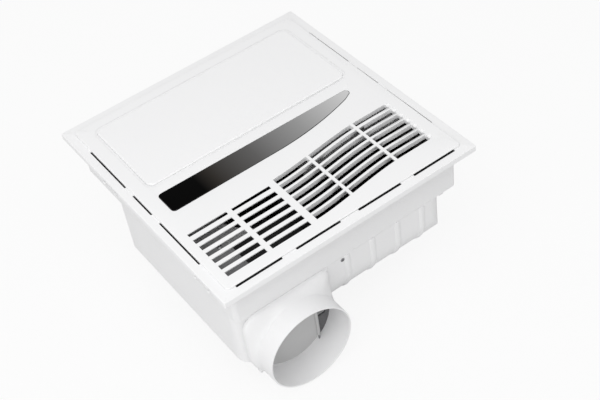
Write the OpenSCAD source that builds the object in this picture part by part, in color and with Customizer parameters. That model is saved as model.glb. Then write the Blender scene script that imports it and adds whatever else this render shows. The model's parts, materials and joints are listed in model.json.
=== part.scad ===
// Ceiling mounted fan heater with a light window and a ventilation outlet.
// It lies on its back here: +Z comes out of the face, +X is to the right and +Y to the light window.
// The origin is the middle of the ceiling plane, which the rim and the housing's flange lie on.

/* [Face panel] */
// Width of the face panel, left to right
panel_w = 330; // [300:2:400]
// Depth of the face panel, front to back
panel_d = 340; // [320:2:410]
// Height of the rim's side face above the ceiling
rim_h = 7; // [6:0.5:9]
// Width of the flat rim round the raised field
rim_w = 11.5; // [10:0.5:13]
// Rise of the field above the rim
field_rise = 2.5; // [1.5:0.5:4]
// Wall of the face panel
panel_wall = 2.2; // [1.8:0.2:2.6]
// Width of the thin slots at the foot of the field
rim_slot_w = 2; // [1.4:0.2:2.4]

/* [Grille] */
// Distance from the panel's front edge to the middle of the first slot
grille_front = 31; // [28:1:36]
// Slots in each column
slot_count = 7; // [4:1:7]
// Distance from one slot to the next
slot_pitch = 11.8; // [10:0.2:12.4]
// Width of a slot in the two flat columns
flat_slot_w = 6.8; // [4:0.2:7.2]
// Width of a slot in the three wavy columns
wavy_slot_w = 8.6; // [5:0.2:8.8]
// Depth of the louvres in the wavy columns
louvre_depth = 5.5; // [4:0.5:7]
// Shift of the slots towards the back at the right end of the wave
wave_rise = 12.5; // [8:0.5:15]

/* [Light] */
// Depth of the light window, front to back
window_d = 123; // [90:1:126]
// Distance from the window to the panel's back edge
window_back = 28; // [24:1:36]
// Distance from the window to the panel's side edges
window_side = 30; // [26:1:40]
// Height of the diffuser above the field
diffuser_rise = 1; // [0.5:0.5:2]

/* [Accent strip] */
// Width of the strip at its left end
strip_d = 34.3; // [28:0.1:35]
// Distance from the panel's front edge to the strip
strip_front = 139.1; // [136:0.1:144]
// Width of the strip at its tip
strip_tip_d = 10.2; // [6:0.2:14]

/* [Housing] */
// Distance from the panel's side edges to the main housing's walls
box_side = 15.2; // [14:0.2:20]
// Distance from the panel's front edge to the main housing's front wall
box_front = 16.7; // [15.5:0.1:20]
// Distance from the panel's back edge to the main housing's back wall
box_back = 8.5; // [8.5:0.1:20]
// Depth of the main housing below the ceiling plane
box_h = 53; // [50:1:64]
// Wall of the housing mouldings
wall = 2; // [1.6:0.2:2.4]
// Depth of the blower casing below the ceiling plane
casing_h = 126; // [122:1:140]
// Distance from the main housing's right wall to the casing
casing_right_gap = 20.2; // [16:0.2:28]
// Distance from the main housing's back wall to the casing
casing_back_gap = 64.5; // [58:0.5:70]
// Radius of the casing's rounded front edge
casing_round = 44.5; // [38:0.5:52]
// Ribs that wrap the casing's front
rib_count = 4; // [3:1:5]
// Distance between the ribs
rib_pitch = 35; // [28:1:38]

/* [Outlet] */
// Outer radius of the round spigot
spigot_r = 52.4; // [48:0.2:55]
// Wall of the spigot
spigot_wall = 1.8; // [1.4:0.2:2.4]
// Length of the spigot in front of the casing
spigot_len = 38.5; // [34:0.5:60]
// Gap between the draught flap's edge and the spigot's inside
flap_gap = 3.7; // [3.2:0.1:6]

/* [Blower] */
// Radius of the impeller
impeller_r = 62; // [56:1:64]
// Height of the impeller
impeller_h = 46; // [40:1:50]
// Blades of the impeller
blade_count = 36; // [24:2:40]
// Radius of the blower motor
motor_r = 38; // [34:1:42]
// Radius of the motor shaft
shaft_r = 4; // [3:0.5:5]

/* [Heater] */
// Heater elements side by side
element_count = 3; // [2:1:4]
// Fins along each element
fin_count = 44; // [30:2:50]
// Distance that a fin stands across its element
fin_d = 18; // [14:1:22]

/* [Hidden] */
$fn = 64;
eps = 0.01;
big = 600;
fit = 0.3;
running = 0.05;
sheet = 0.8;

box_w = panel_w - 2 * box_side;
left = -box_w / 2;
right = box_w / 2;
front = -panel_d / 2 + box_front;
back = panel_d / 2 - box_back;
z_rim = rim_h;
z_field = rim_h + field_rise;
z_skin = z_field - panel_wall;
z_floor = -box_h;
z_base = -casing_h;
box_corner = 6;
flange_inset = 7;
flange_t = 1.6;

window_w = panel_w - 2 * window_side;
window_y = panel_d / 2 - window_back - window_d / 2;
window_corner = 9;

// The outlet's hood reaches further out on the left than on the right
hood_left = spigot_r + 4.7;
hood_right = spigot_r + 1.3;
hood_top = spigot_r + 2.5;
spigot_x = left + spigot_r + 9.1;
spigot_z = z_floor - hood_top + 0.2;
block_x1 = spigot_x + hood_right + 0.6;

function smooth(t) = let (u = min(max(t, 0), 1)) u * u * (3 - 2 * u);
function arc(x, y, r, a0, a1, n) =
    [for (i = [0:n]) let (a = a0 + (a1 - a0) * i / n) [x + r * cos(a), y + r * sin(a)]];

// ---- shared shapes ----

module rounded(w, d, r) {
    square([w - 2 * r, d], center = true);
    square([w, d - 2 * r], center = true);
    for (sx = [-1, 1], sy = [-1, 1])
        translate([sx * (w / 2 - r), sy * (d / 2 - r)]) circle(r);
}

module slab(w, d, r, z0, z1) translate([0, 0, z0]) linear_extrude(z1 - z0) rounded(w, d, r);

// A box given by its lowest and highest corners
module block(a, b) translate(a) cube(b - a);

// A slab given by its lowest and highest corners, with rounded upright edges
module pad(a, b, r)
    translate([(a.x + b.x) / 2, (a.y + b.y) / 2, 0])
        slab(b.x - a.x, b.y - a.y, r, a.z, b.z);

// A cylinder along Y, from y0 to y1
module rod_y(r, y0, y1) translate([0, y0, 0]) rotate([-90, 0, 0]) cylinder(r = r, h = y1 - y0);

// A cylinder along X, from x0 to x1
module rod_x(r, x0, x1) translate([x0, 0, 0]) rotate([0, 90, 0]) cylinder(r = r, h = x1 - x0);

// A pan-head screw, its head standing above z = 0 and its shank below
module screw(head_r, head_h, shank_r, shank_l) {
    difference() {
        intersection() {
            cylinder(r = head_r, h = head_h);
            translate([0, 0, head_h - head_r * 1.6]) sphere(r = head_r * 1.6);
        }
        for (a = [0, 90])
            rotate(a) translate([-head_r * 0.6, -0.4, head_h - 0.9]) cube([head_r * 1.2, 0.8, 2]);
    }
    translate([0, 0, -shank_l]) cylinder(r = shank_r, h = shank_l + eps);
}

// ---- face panel ----

field_w = panel_w - 2 * rim_w;
field_d = panel_d - 2 * rim_w;
field_corner = 4;

// Columns of the grille: widths are shared out over what the side margins and bars leave
grille_left_margin = 22.3;
grille_right_margin = 30;
bars = [6.3, 8.6, 3.6, 3.6];
column_parts = [49, 49.4, 47.4, 63.5, 46.3];
flat_columns = 2;
function total(v, n) = n == 0 ? 0 : v[n - 1] + total(v, n - 1);
column_unit = (panel_w - grille_left_margin - grille_right_margin - total(bars, 4)) / total(column_parts, 5);
function column_x0(i) =
    -panel_w / 2 + grille_left_margin + total(column_parts, i) * column_unit + total(bars, i);
function column_x1(i) = column_x0(i) + column_parts[i] * column_unit;
wave_x0 = column_x0(2) - 6;
wave_x1 = column_x0(4) + 7;
grille_y = -panel_d / 2 + grille_front;
grille_end_y = grille_y + (slot_count - 1) * slot_pitch;
function wave(x) = wave_rise * smooth((x - wave_x0) / (wave_x1 - wave_x0));
wave_steps = 6;

// One slot of a wavy column as an outline that follows the wave
module wavy_slot(x0, x1, y, w, steps = wave_steps) {
    xs = [for (i = [0:steps]) x0 + (x1 - x0) * i / steps];
    low = [for (x = xs) [x, y + wave(x) - w / 2]];
    high = [for (i = [steps:-1:0]) [xs[i], y + wave(xs[i]) + w / 2]];
    polygon(concat(low, high));
}

// The last slot of a column is narrower
last_flat_w = 4.6;
last_wavy_w = [8.4, 7.4, 7];

// The bars between the wavy columns are shallow, and the other slots run on under them
bar_t = 1.6;

// The flat slots sit nearer to the front than the middle of the pitch, the wavy ones nearer to the back
flat_shift = -2.1;
wavy_shift = 0.7;

module grille_slots() {
    for (c = [0:flat_columns - 1], s = [0:slot_count - 1]) {
        w = s == slot_count - 1 ? last_flat_w : flat_slot_w;
        y = grille_y + flat_shift + s * slot_pitch;
        block([column_x0(c), y - w / 2, 0], [column_x1(c), y + w / 2, big]);
    }
    for (c = [flat_columns:4], s = [0:slot_count - 1]) {
        last = s == slot_count - 1;
        w = last ? min(last_wavy_w[c - flat_columns], wavy_slot_w) : wavy_slot_w;
        y = grille_y + wavy_shift + s * slot_pitch;
        linear_extrude(big) wavy_slot(column_x0(c), column_x1(c), y, w);
        if (c < 4 && !last)
            linear_extrude(z_field - bar_t) wavy_slot(column_x1(c), column_x0(c + 1), y, w, 1);
    }
}

// Shallow scoops where the louvres run out at the right end of the last column
scoop_r = 4.2;
module grille_scoops()
    for (s = [0:slot_count - 1])
        translate([column_x1(4), grille_y + wavy_shift + s * slot_pitch + wave_rise, z_field])
            translate([1.4, 0, scoop_r - 1.4]) sphere(r = scoop_r, $fn = 24);

// The sheet under the flat columns is thinner
flat_sheet = 1.2;
module flat_relief() block(
    [column_x0(0) + 0.5, grille_y + flat_shift - slot_pitch, z_skin - 1],
    [column_x1(1) + 3, grille_end_y + slot_pitch, z_field - flat_sheet]
);

louvre_margin = 4;
module louvre_block() {
    x0 = column_x0(2) - louvre_margin;
    x1 = column_x1(4) + louvre_margin;
    block(
        [x0, grille_y - slot_pitch / 2, z_field - louvre_depth],
        [x1, grille_end_y + wave_rise + slot_pitch / 2, z_field - eps]
    );
}

// A thin slot at the foot of the field, over a strip where the sheet is thinned from below
rim_sheet = 1;
rim_relief = 2;
module rim_slot(w, d) {
    slab(w, d, rim_slot_w / 2 - eps, 1, z_rim + eps, $fn = 24);
    block(
        [-w / 2 - rim_relief, -d / 2 - rim_relief, z_rim - panel_wall - eps],
        [w / 2 + rim_relief, d / 2 + rim_relief, z_rim - rim_sheet]
    );
}

module rim_slots() {
    slot_y = panel_d / 2 - rim_w + rim_slot_w / 2;
    slot_x = panel_w / 2 - rim_w + rim_slot_w / 2;
    for (side = [-1, 1], x = [-115, -40.3, 40.3, 115])
        translate([x * panel_w / 330, side * slot_y, 0]) rim_slot(57, rim_slot_w);
    for (side = [-1, 1], y = [-70.4, 4.2, 78.9])
        translate([side * slot_x, y * panel_d / 340, 0]) rim_slot(rim_slot_w, y == 4.2 ? 39 : 78);
}

// Pry slots and thumb bumps where the panel is taken off its clips
pry_y = [-128, 57];
module pry_slots()
    for (side = [-1, 1], y = pry_y)
        block(
            [side * panel_w / 2 - 4, y * panel_d / 340 - 7.2, 1],
            [side * panel_w / 2 + 4, y * panel_d / 340 + 7.2, 2.6]
        );

module pry_bumps()
    for (side = [-1, 1], y = pry_y, e = [-1, 1])
        translate([side * (panel_w / 2 - 0.6), y * panel_d / 340 + e * 12.5, 0])
            cylinder(r = 2.4, h = 3.2);

// The accent strip's outline, from its square left end along the sweep to its tip
strip_x0 = -panel_w / 2 + 28.9;
strip_x1 = panel_w / 2 - 45;
strip_y0 = -panel_d / 2 + strip_front;
strip_bend_x = strip_x0 + 0.53 * (strip_x1 - strip_x0);
strip_end = 5;
strip_slope = 0.0133;
strip_rise = strip_d - (strip_x1 - strip_x0) * strip_slope - strip_tip_d;
strip_sweep_r = (pow(strip_x1 - strip_bend_x, 2) + pow(strip_rise, 2)) / (2 * strip_rise);
function strip_low(x) =
    strip_y0 + strip_sweep_r - sqrt(pow(strip_sweep_r, 2) - pow(max(x - strip_bend_x, 0), 2));
function strip_high(x) = strip_y0 + strip_d - (x - strip_x0) * strip_slope;
sweep_steps = 14;

module strip_outline(grow) {
    tip_r = (strip_high(strip_x1) - strip_low(strip_x1)) / 2 + grow;
    tip_y = (strip_high(strip_x1) + strip_low(strip_x1)) / 2;
    end_r = strip_end + grow;
    x0 = strip_x0 - grow;
    low_end = arc(x0 + end_r, strip_y0 - grow + end_r, end_r, 180, 270, 5);
    sweep = [
        for (i = [0:sweep_steps - 1])
            let (x = strip_bend_x + (strip_x1 - 3 - strip_bend_x) * i / sweep_steps)
                [x, strip_low(x) - grow]
    ];
    tip = arc(strip_x1 - tip_r + grow, tip_y, tip_r, -50, 80, 8);
    high_end = arc(x0 + end_r, strip_high(x0) + grow - end_r, end_r, 95, 180, 5);
    polygon(concat(low_end, sweep, tip, high_end));
}

strip_seat = 1.2;
window_groove_w = 3;
window_groove_t = 0.5;
window_rebate = 3;

// Hooks inside the rim that the spring clips hold
clip_x = box_w / 2 - wall - 4;
clip_y = 92 * panel_d / 340;
hook_tip_z = -9;
hook_t = 2.4;
hook_w = 28;
hook_notch_r = 0.7;
module at_clips()
    for (sx = [-1, 1], sy = [-1, 1])
        translate([sx * clip_x, sy * clip_y, 0]) children();

module clip_hooks() at_clips() difference() {
    block([-hook_t / 2, -hook_w / 2, hook_tip_z], [hook_t / 2, hook_w / 2, z_skin + eps]);
    for (side = [-1, 1])
        translate([side * (hook_t / 2 + 0.2), 0, hook_tip_z + 3])
            rod_y(hook_notch_r, -hook_w, hook_w, $fn = 24);
}

module face_panel() color("white") {
    difference() {
        union() {
            difference() {
                union() {
                    slab(panel_w, panel_d, 1.5, 0, z_rim);
                    slab(field_w, field_d, field_corner, 0, z_field);
                }
                slab(panel_w - 2 * panel_wall, panel_d - 2 * panel_wall, 1, -1, z_rim - panel_wall);
                slab(field_w - 2 * panel_wall, field_d - 2 * panel_wall, field_corner - 1, -1, z_skin);
            }
            louvre_block();
        }
        grille_slots();
        grille_scoops();
        flat_relief();
        rim_slots();
        pry_slots();
        translate([0, window_y, 0]) slab(window_w, window_d, window_corner, 0, big);
        translate([0, window_y, 0])
            slab(
                window_w + 2 * window_groove_w, window_d + 2 * window_groove_w,
                window_corner + window_groove_w, z_field - window_groove_t, big
            );
        translate([0, 0, z_field - strip_seat]) linear_extrude(big) strip_outline(0);
    }
    pry_bumps();
    clip_hooks();
}

// ---- light ----

tray_h = 14;
tray_wall = 1.5;
diffuser_t = 2.2;
tray_gap = 2;
z_diffuser = z_field + diffuser_rise;
z_ledge = z_skin;
z_tray = z_ledge - diffuser_t - fit - tray_h;
tray_w = window_w + 2 * tray_gap;
tray_d = window_d + 2 * tray_gap;

lens_w = window_w - 2 * fit;
lens_d = window_d - 2 * fit;
lens_edge = 0.6;
module light_diffuser() color("whitesmoke") translate([0, window_y, 0]) {
    difference() {
        union() {
            slab(lens_w, lens_d, window_corner - fit, z_ledge - eps, z_diffuser - lens_edge);
            slab(
                lens_w - 2 * lens_edge, lens_d - 2 * lens_edge, window_corner - fit - lens_edge,
                z_ledge, z_diffuser
            );
            slab(tray_w, tray_d, window_corner, z_ledge - 1.6, z_ledge);
        }
        slab(
            window_w - 2 * diffuser_t, window_d - 2 * diffuser_t, window_corner - diffuser_t,
            z_ledge - 2, z_diffuser - diffuser_t
        );
    }
}

strip_t = strip_seat + 0.4;
module accent_strip() color("dimgray")
    translate([0, 0, z_field - strip_seat]) linear_extrude(strip_t) strip_outline(-0.25);

module light_tray() color("white") translate([0, window_y, 0])
    difference() {
        union() {
            slab(tray_w, tray_d, window_corner, z_ledge - 1.6 - fit - 1.5, z_ledge - 1.6 - fit);
            slab(window_w, window_d, window_corner, z_tray, z_ledge - 1.6 - fit);
        }
        slab(
            window_w - 2 * tray_wall, window_d - 2 * tray_wall, window_corner - tray_wall,
            z_tray + tray_wall, z_ledge
        );
    }

board_w = 230;
board_d = 92;
board_t = 1.6;
emitter_cols = 10;
emitter_rows = 4;
module light_board() color("ghostwhite") translate([0, window_y, z_tray + tray_wall]) {
    slab(board_w * panel_w / 330, board_d, 3, 0, board_t);
    for (i = [0:emitter_cols - 1], j = [0:emitter_rows - 1])
        translate([
            (i - (emitter_cols - 1) / 2) * 22 * panel_w / 330,
            (j - (emitter_rows - 1) / 2) * 23, board_t
        ])
            block([-1.75, -1.4, -eps], [1.75, 1.4, 0.8]);
}

driver_x = 70;
module light_driver() color("white") {
    pad(
        [driver_x, window_y - 18, z_tray - 20],
        [driver_x + 52, window_y + 18, z_tray], 3
    );
}

// ---- main housing ----

inlet_r = impeller_r - 12;
inlet_flange_w = 8;
inlet_seat_h = wall + 2;
bell_r = 4;
scroll_start_r = impeller_r + 6;
tongue_angle = 257;
scroll_end_angle = 540;
scroll_end_r = impeller_r + 61;
function scroll_r(a) =
    scroll_start_r + (scroll_end_r - scroll_start_r) * (a - tongue_angle) / (scroll_end_angle - tongue_angle);
casing_left = left;
casing_right = right - casing_right_gap;
casing_back = back - casing_back_gap;
blower_x = casing_left + wall + scroll_end_r;
blower_y = casing_back - wall - scroll_r(450) - 1;

// Air chamber in the front left corner of the casing, in front of the scroll
chamber_x0 = casing_left + wall;
damper_boss_r = 4.6;
damper_boss_l = 3.8;
chamber_x1 = blower_x + scroll_start_r * cos(tongue_angle);
damper_axis_y = front + wall + 9;
damper_axis_z = z_floor - 9;
damper_len = damper_axis_z - z_base - 6;
damper_t = 1.6;
seal_t = 1.5;
damper_shaft_r = 2.5;
seat_rim = 1.5;

// Opening in the housing floor that the damper closes when it lies flat
floor_opening_x0 = chamber_x0 + 6.5;
floor_opening_x1 = chamber_x1 - 4;
floor_opening_y0 = damper_axis_y + 5;
floor_opening_y1 = damper_axis_y + damper_len - 4;
floor_seat_z = damper_axis_z + damper_t / 2 + seal_t + fit;

// Opening in the casing's front wall that the damper closes when it hangs down
opening_x0 = chamber_x0 + 12;
opening_x1 = chamber_x1 - 2.5;
opening_z0 = damper_axis_z - damper_len + 3;
opening_z1 = damper_axis_z - 4;
front_seat_y = damper_axis_y - damper_t / 2 - seal_t - fit;

flange_hole_r = 2.25;
flange_hole_x = (right + panel_w / 2 - flange_inset) / 2;
flange_hole_y = panel_d / 2 - 31.5;

module flange_holes()
    for (sx = [-1, 1], sy = [-1, 1])
        translate([sx * flange_hole_x, sy * flange_hole_y, -1]) cylinder(r = flange_hole_r, h = 4);

grommet_x = 92;
grommet_z = -26;
grommet_hole_r = 9;

// Shelf on the side wall that carries a spring clip
clip_seat_z = hook_tip_z - 3;
shelf_t = 3;
shelf_w = 8;
module clip_shelves()
    for (sx = [-1, 1], sy = [-1, 1])
        translate([sx * (box_w / 2 - wall - shelf_w / 2), sy * clip_y, clip_seat_z - shelf_t])
            block([-shelf_w / 2 - eps, -clip_w / 2 - 2, 0], [shelf_w / 2 + eps, clip_w / 2 + 2, shelf_t]);

// Tab under the floor that takes the screw at the casing's front
front_screw = [block_x1 + 22, z_floor - 4.5];
front_tab_t = 4;
front_head_r = 2.4;
module front_tab() block(
    [front_screw.x - 6, front + wall + fit, z_floor - 9],
    [front_screw.x + 6, front + wall + fit + front_tab_t, z_floor + eps]
);

module main_housing() color("white") difference() {
    union() {
        front_tab();
        difference() {
            union() {
                pad([left, front, z_floor], [right, back, flange_t], box_corner);
                slab(panel_w - 2 * flange_inset, panel_d - 2 * flange_inset, box_corner, 0, flange_t);
            }
            pad(
                [left + wall, front + wall, z_floor + wall],
                [right - wall, back - wall, flange_t + 1], box_corner - wall
            );
        }
        translate([blower_x, blower_y, z_floor]) cylinder(r = inlet_r + inlet_flange_w, h = inlet_seat_h);
        block(
            [floor_opening_x0 - seat_rim, floor_opening_y0 - seat_rim, floor_seat_z],
            [floor_opening_x1 + seat_rim, floor_opening_y1 + seat_rim, z_floor + eps]
        );
        clip_shelves();
    }
    flange_holes();
    translate([blower_x, blower_y, z_floor - 1]) cylinder(r = inlet_r + bell_r, h = 10);
    block(
        [floor_opening_x0, floor_opening_y0, floor_seat_z - 1],
        [floor_opening_x1, floor_opening_y1, z_floor + wall + 1]
    );
    translate([grommet_x, 0, grommet_z]) rod_y(grommet_hole_r, back - wall - 1, back + 1);
    for (p = casing_lugs()) translate([p.x, p.y, z_floor - 1]) cylinder(r = lug_hole_r, h = wall + 2);
    translate([front_screw.x, 0, front_screw.y])
        rod_y(screw_core_r, front, front + wall + fit + front_tab_t + 1);
}

// ---- blower casing ----

corner_r = 17;
casing_end_round = 36;
dome_r = motor_r + 7;
dome_wall = 2;
dome_z = z_base - 30;
dome_flange_w = 9.5;

// Side profile (Y to the right, Z up) of the rounded front part
module front_profile(inset) {
    r = casing_round - inset;
    y0 = front + inset;
    z0 = z_base + inset;
    translate([y0 + r, z0]) square([casing_back - inset - y0 - r, z_floor - z0]);
    translate([y0, z0 + r]) square([r + eps, z_floor - z0 - r]);
    translate([y0 + r, z0 + r]) circle(r);
}

// End profile (X to the right, Z up), with a rounded lower right edge
module end_profile(x0, inset) {
    r = casing_end_round - inset;
    x1 = casing_right - inset;
    z0 = z_base + inset;
    translate([x0, z0]) square([x1 - r - x0, z_floor - z0]);
    translate([x1 - r - eps, z0 + r]) square([r + eps, z_floor - z0 - r]);
    translate([x1 - r, z0 + r]) circle(r);
}

module along_x(x0, x1) translate([x0, 0, 0]) rotate([90, 0, 90]) linear_extrude(x1 - x0) children();
module along_y(y0, y1) translate([0, y1, 0]) rotate([90, 0, 0]) linear_extrude(y1 - y0) children();

module casing_form(inset) {
    intersection() {
        along_x(block_x1 - 20, casing_right - inset) front_profile(inset);
        along_y(front + inset, casing_back - inset) end_profile(block_x1 - 20, inset);
        translate([(block_x1 - 40 + casing_right) / 2, (front + casing_back) / 2, 0])
            slab(
                casing_right - block_x1 + 40 - 2 * inset, casing_back - front - 2 * inset,
                corner_r - inset, z_base, z_floor
            );
    }
    intersection() {
        pad(
            [casing_left + inset, front + inset, z_base + inset],
            [block_x1 + 20, casing_back - inset, z_floor], corner_r - inset
        );
        block([casing_left, front, z_base], [block_x1 - inset, casing_back, z_floor]);
    }
}

rib_r = 7;
rib_proud = 1.4;
rib_first = 30.6;
rib_under = blower_y - dome_r - dome_flange_w - rib_r - 2 - (front + casing_round);
function rib_x(i) = casing_right - rib_first - i * rib_pitch;

// A half-round rib down the front wall, round the front edge and along the base
module rib(x) translate([x, front + casing_round, z_base + casing_round]) {
    track = casing_round - rib_r + rib_proud;
    translate([0, -track, 0]) cylinder(r = rib_r, h = z_floor - z_base - casing_round - 3);
    rotate([0, -90, 0]) rotate([0, 0, 180]) rotate_extrude(angle = 90) translate([track, 0]) circle(rib_r);
    translate([0, 0, -track]) rod_y(rib_r, 0, rib_under);
    translate([0, rib_under, -track]) sphere(r = rib_r);
    translate([0, -track, z_floor - z_base - casing_round - 3]) sphere(r = rib_r);
}

scroll_steps = 30;
scroll_wall = 1.8;
module scroll_outline(grow) {
    spiral = [
        for (i = [0:scroll_steps])
            let (
                a = tongue_angle + (scroll_end_angle - tongue_angle) * i / scroll_steps,
                r = scroll_r(a) + grow
            )
                [blower_x + r * cos(a), blower_y + r * sin(a)]
    ];
    polygon(concat(spiral, [[chamber_x0 - grow, front + wall], [chamber_x1 + grow, front + wall]]));
}

module scroll_wall() difference() {
    translate([0, 0, z_base + wall - eps])
        linear_extrude(z_floor - z_base - wall - fit) scroll_outline(scroll_wall);
    translate([0, 0, z_base]) linear_extrude(casing_h) scroll_outline(0);
}

lug_r = 4.5;
lug_h = 6;
lug_hole_r = 1.6;
lug_reach = 8;
function right_lugs() = [[casing_right + 2, front + 8], [casing_right + 4, casing_back - 20]];
function back_lugs() = [[0, casing_back + 4], [casing_left + 60, casing_back + 4]];
function casing_lugs() = concat(right_lugs(), back_lugs());

module casing_lug_bodies() translate([0, 0, z_floor - lug_h]) {
    for (p = casing_lugs()) translate([p.x, p.y, 0]) cylinder(r = lug_r, h = lug_h);
    for (p = right_lugs()) block([p.x - lug_reach, p.y - lug_r, 0], [p.x, p.y + lug_r, lug_h]);
    for (p = back_lugs()) block([p.x - lug_r, p.y - lug_reach, 0], [p.x + lug_r, p.y, lug_h]);
}

// Frame on the inside of the front wall that the hanging damper closes against
module front_seat() block(
    [opening_x0 - seat_rim, front + wall - eps, opening_z0 - seat_rim],
    [opening_x1 + seat_rim, front_seat_y, opening_z1 + seat_rim]
);

module front_opening(y1) block([opening_x0, front - 1, opening_z0], [opening_x1, y1, opening_z1]);

module at_damper_axis() translate([0, damper_axis_y, damper_axis_z]) children();
module at_blower() translate([blower_x, blower_y, 0]) children();

screw_core_r = 1.3;
screw_hole_r = 1.7;
screw_seat_r = 3.4;
dome_screw_angles = [45, 135, 225, 315];
dome_screw_r = dome_r + dome_wall + 3.6;
module at_dome_screws()
    at_blower() for (a = dome_screw_angles) rotate(a) translate([dome_screw_r, 0, 0]) children();

module blower_casing() color("white") difference() {
    union() {
        difference() {
            union() {
                casing_form(0);
                for (i = [0:rib_count - 1]) rib(rib_x(i));
                casing_lug_bodies();
            }
            casing_form(wall);
            translate([0, 0, z_floor]) cylinder(r = big, h = 10);
        }
        intersection() {
            union() {
                scroll_wall();
                at_damper_axis() rod_x(damper_boss_r, chamber_x0 - 1, chamber_x0 + damper_boss_l);
            }
            casing_form(0);
        }
        front_seat();
    }
    translate([blower_x, blower_y, z_base - 10]) cylinder(r = dome_r, h = wall + 10 + eps);
    front_opening(front_seat_y + 1);
    at_damper_axis() rod_x(damper_shaft_r + running, chamber_x0 + 1.1, chamber_x1 + scroll_wall + 1);
    for (p = casing_lugs())
        translate([p.x, p.y, z_floor - lug_h - 1]) cylinder(r = lug_hole_r, h = lug_h + 2);
    for (p = outlet_screws()) translate([p.x, 0, p.y]) {
        rod_y(screw_hole_r, front - 1, front + wall + 1);
        rod_y(screw_seat_r, front + wall, front + wall + 4);
    }
    translate([front_screw.x, 0, front_screw.y]) {
        rod_y(screw_hole_r, front - 1, front + wall + 1);
        rod_y(front_head_r + fit, front - 3, front);
    }
    at_dome_screws() translate([0, 0, z_base - 1]) cylinder(r = screw_core_r, h = wall + 2);
    at_gear_ears() rod_x(screw_core_r, chamber_x1 - 1, gear_motor_x0);
}

// ---- outlet ----

hood_t = 2;
hood_gap = 0.1;
hood_r = (hood_left + hood_right) / 2;
hood_left_corner = 18;
hood_right_corner = 5;
groove_w = 0.8;
groove_t = 0.8;
flare_len = 13.5;
hood_y1 = front - hood_gap;
hood_y0 = hood_y1 - hood_t;
mouth_y = front - spigot_len;
spigot_end_y = hood_y0 - flare_len - groove_w;
tube_r = spigot_r - spigot_wall;
flap_r = tube_r - flap_gap;
seat_r = flap_r - 2;
pin_offset = 0.6 * tube_r;
pin_r = 1;
knuckle_r = 2;
pin_y = hood_y0 - 0.4 - knuckle_r;
pin_reach = sqrt(pow(tube_r, 2) - pow(pin_offset, 2));
pin_half = pin_reach + 2.2;
vane_hole_r = 1.5;
vane_hole_angle = 22;

// Screws driven from inside the casing into the hood's solid corners
screw_bite = 6;
outlet_screw_z = spigot_z + hood_top - 8.2;
function outlet_screws() = [
    [spigot_x - hood_left + 8.5, outlet_screw_z],
    [chamber_x1 - 4, outlet_screw_z]
];

module at_spigot() translate([spigot_x, 0, spigot_z]) children();

// Outline of the hood seen from the front: round below, nearly square towards the crease
module hood_outline() {
    translate([(hood_right - hood_left) / 2, 0]) circle(hood_r);
    translate([hood_left_corner - hood_left, hood_top - hood_left_corner]) circle(hood_left_corner);
    translate([hood_right - hood_right_corner, hood_top - hood_right_corner]) circle(hood_right_corner);
    translate([-hood_left, 0]) square([hood_left + hood_right, hood_top - hood_left_corner]);
    translate([hood_left_corner - hood_left, 0])
        square([hood_left - hood_left_corner + hood_right - hood_right_corner, hood_top]);
    square([hood_right, hood_top - hood_right_corner]);
}

module outlet_duct() color("white") difference() {
    union() {
        at_spigot() along_y(hood_y0, hood_y1) hood_outline();
        block([casing_left + corner_r - 3, hood_y0, z_base], [block_x1, hood_y1, z_floor - fit]);
        at_spigot() hull() {
            along_y(hood_y0 - 0.6, hood_y0 + eps) hood_outline($fn = 48);
            rod_y(spigot_r - groove_t, hood_y0 - flare_len, hood_y0 - flare_len + 0.5, $fn = 64);
        }
        at_spigot() rod_y(spigot_r - groove_t, mouth_y, hood_y0);
        at_spigot() rod_y(spigot_r, mouth_y, spigot_end_y);
        outlet_lugs();
    }
    at_spigot() rod_y(tube_r, mouth_y - 1, hood_y0);
    intersection() {
        at_spigot() union() {
            rod_y(seat_r, hood_y0 - 1, hood_y1 + 1);
            intersection() {
                rod_y(tube_r - 0.5, hood_y0 - 1, hood_y1 + 1);
                block([pin_offset + knuckle_r, hood_y0 - 1, 0], [tube_r, hood_y1 + 1, tube_r]);
            }
        }
        front_opening(front + 1);
    }
    at_spigot() translate([pin_offset, pin_y, -pin_half - 0.2])
        cylinder(r = pin_r + running, h = 2 * pin_half + 0.4);
    at_spigot() rotate([0, vane_hole_angle, 0])
        translate([0, mouth_y + 27, 0]) rod_x(vane_hole_r, tube_r - 2, spigot_r + 3);
    for (p = outlet_screws())
        translate([p.x, 0, p.y]) rod_y(screw_core_r, hood_y1 - screw_bite - 0.5, hood_y1 + 1);
}

// Two small lugs with moulded pegs under the left end of the hood
lug_angles = [214, 226];
module outlet_lugs()
    for (a = lug_angles)
        at_spigot() rotate([0, -a, 0]) translate([hood_r + 2.2, 0, 0]) {
            rod_y(1.8, hood_y0 - 4, hood_y1);
            block([-6, hood_y0 - 1.6, -1], [0, hood_y1, 1]);
        }

spring_len = 11;
knuckle_z0 = 6.6 - pin_reach;
knuckle_z1 = pin_reach - 19.6;
flap_t = 1.6;
flap_y1 = hood_y0 - 0.3;

module draught_flap() color("lightgray") at_spigot() difference() {
    union() {
        difference() {
            rod_y(flap_r, flap_y1 - flap_t, flap_y1);
            block([pin_offset, pin_y - 10, -flap_r], [flap_r + 1, flap_y1 + 1, flap_r]);
            block([pin_offset - knuckle_r - 0.6, pin_y - 10, knuckle_z1], [flap_r, flap_y1 + 1, flap_r]);
            block([pin_offset - knuckle_r - 0.6, pin_y - 10, -flap_r], [flap_r, flap_y1 + 1, knuckle_z0]);
        }
        translate([pin_offset, pin_y, knuckle_z0]) cylinder(r = knuckle_r, h = knuckle_z1 - knuckle_z0);
    }
    translate([pin_offset, pin_y, -flap_r]) cylinder(r = pin_r + running, h = 2 * flap_r);
}

module flap_pin() color("silver") at_spigot()
    translate([pin_offset, pin_y, -pin_half]) cylinder(r = pin_r, h = 2 * pin_half);

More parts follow.
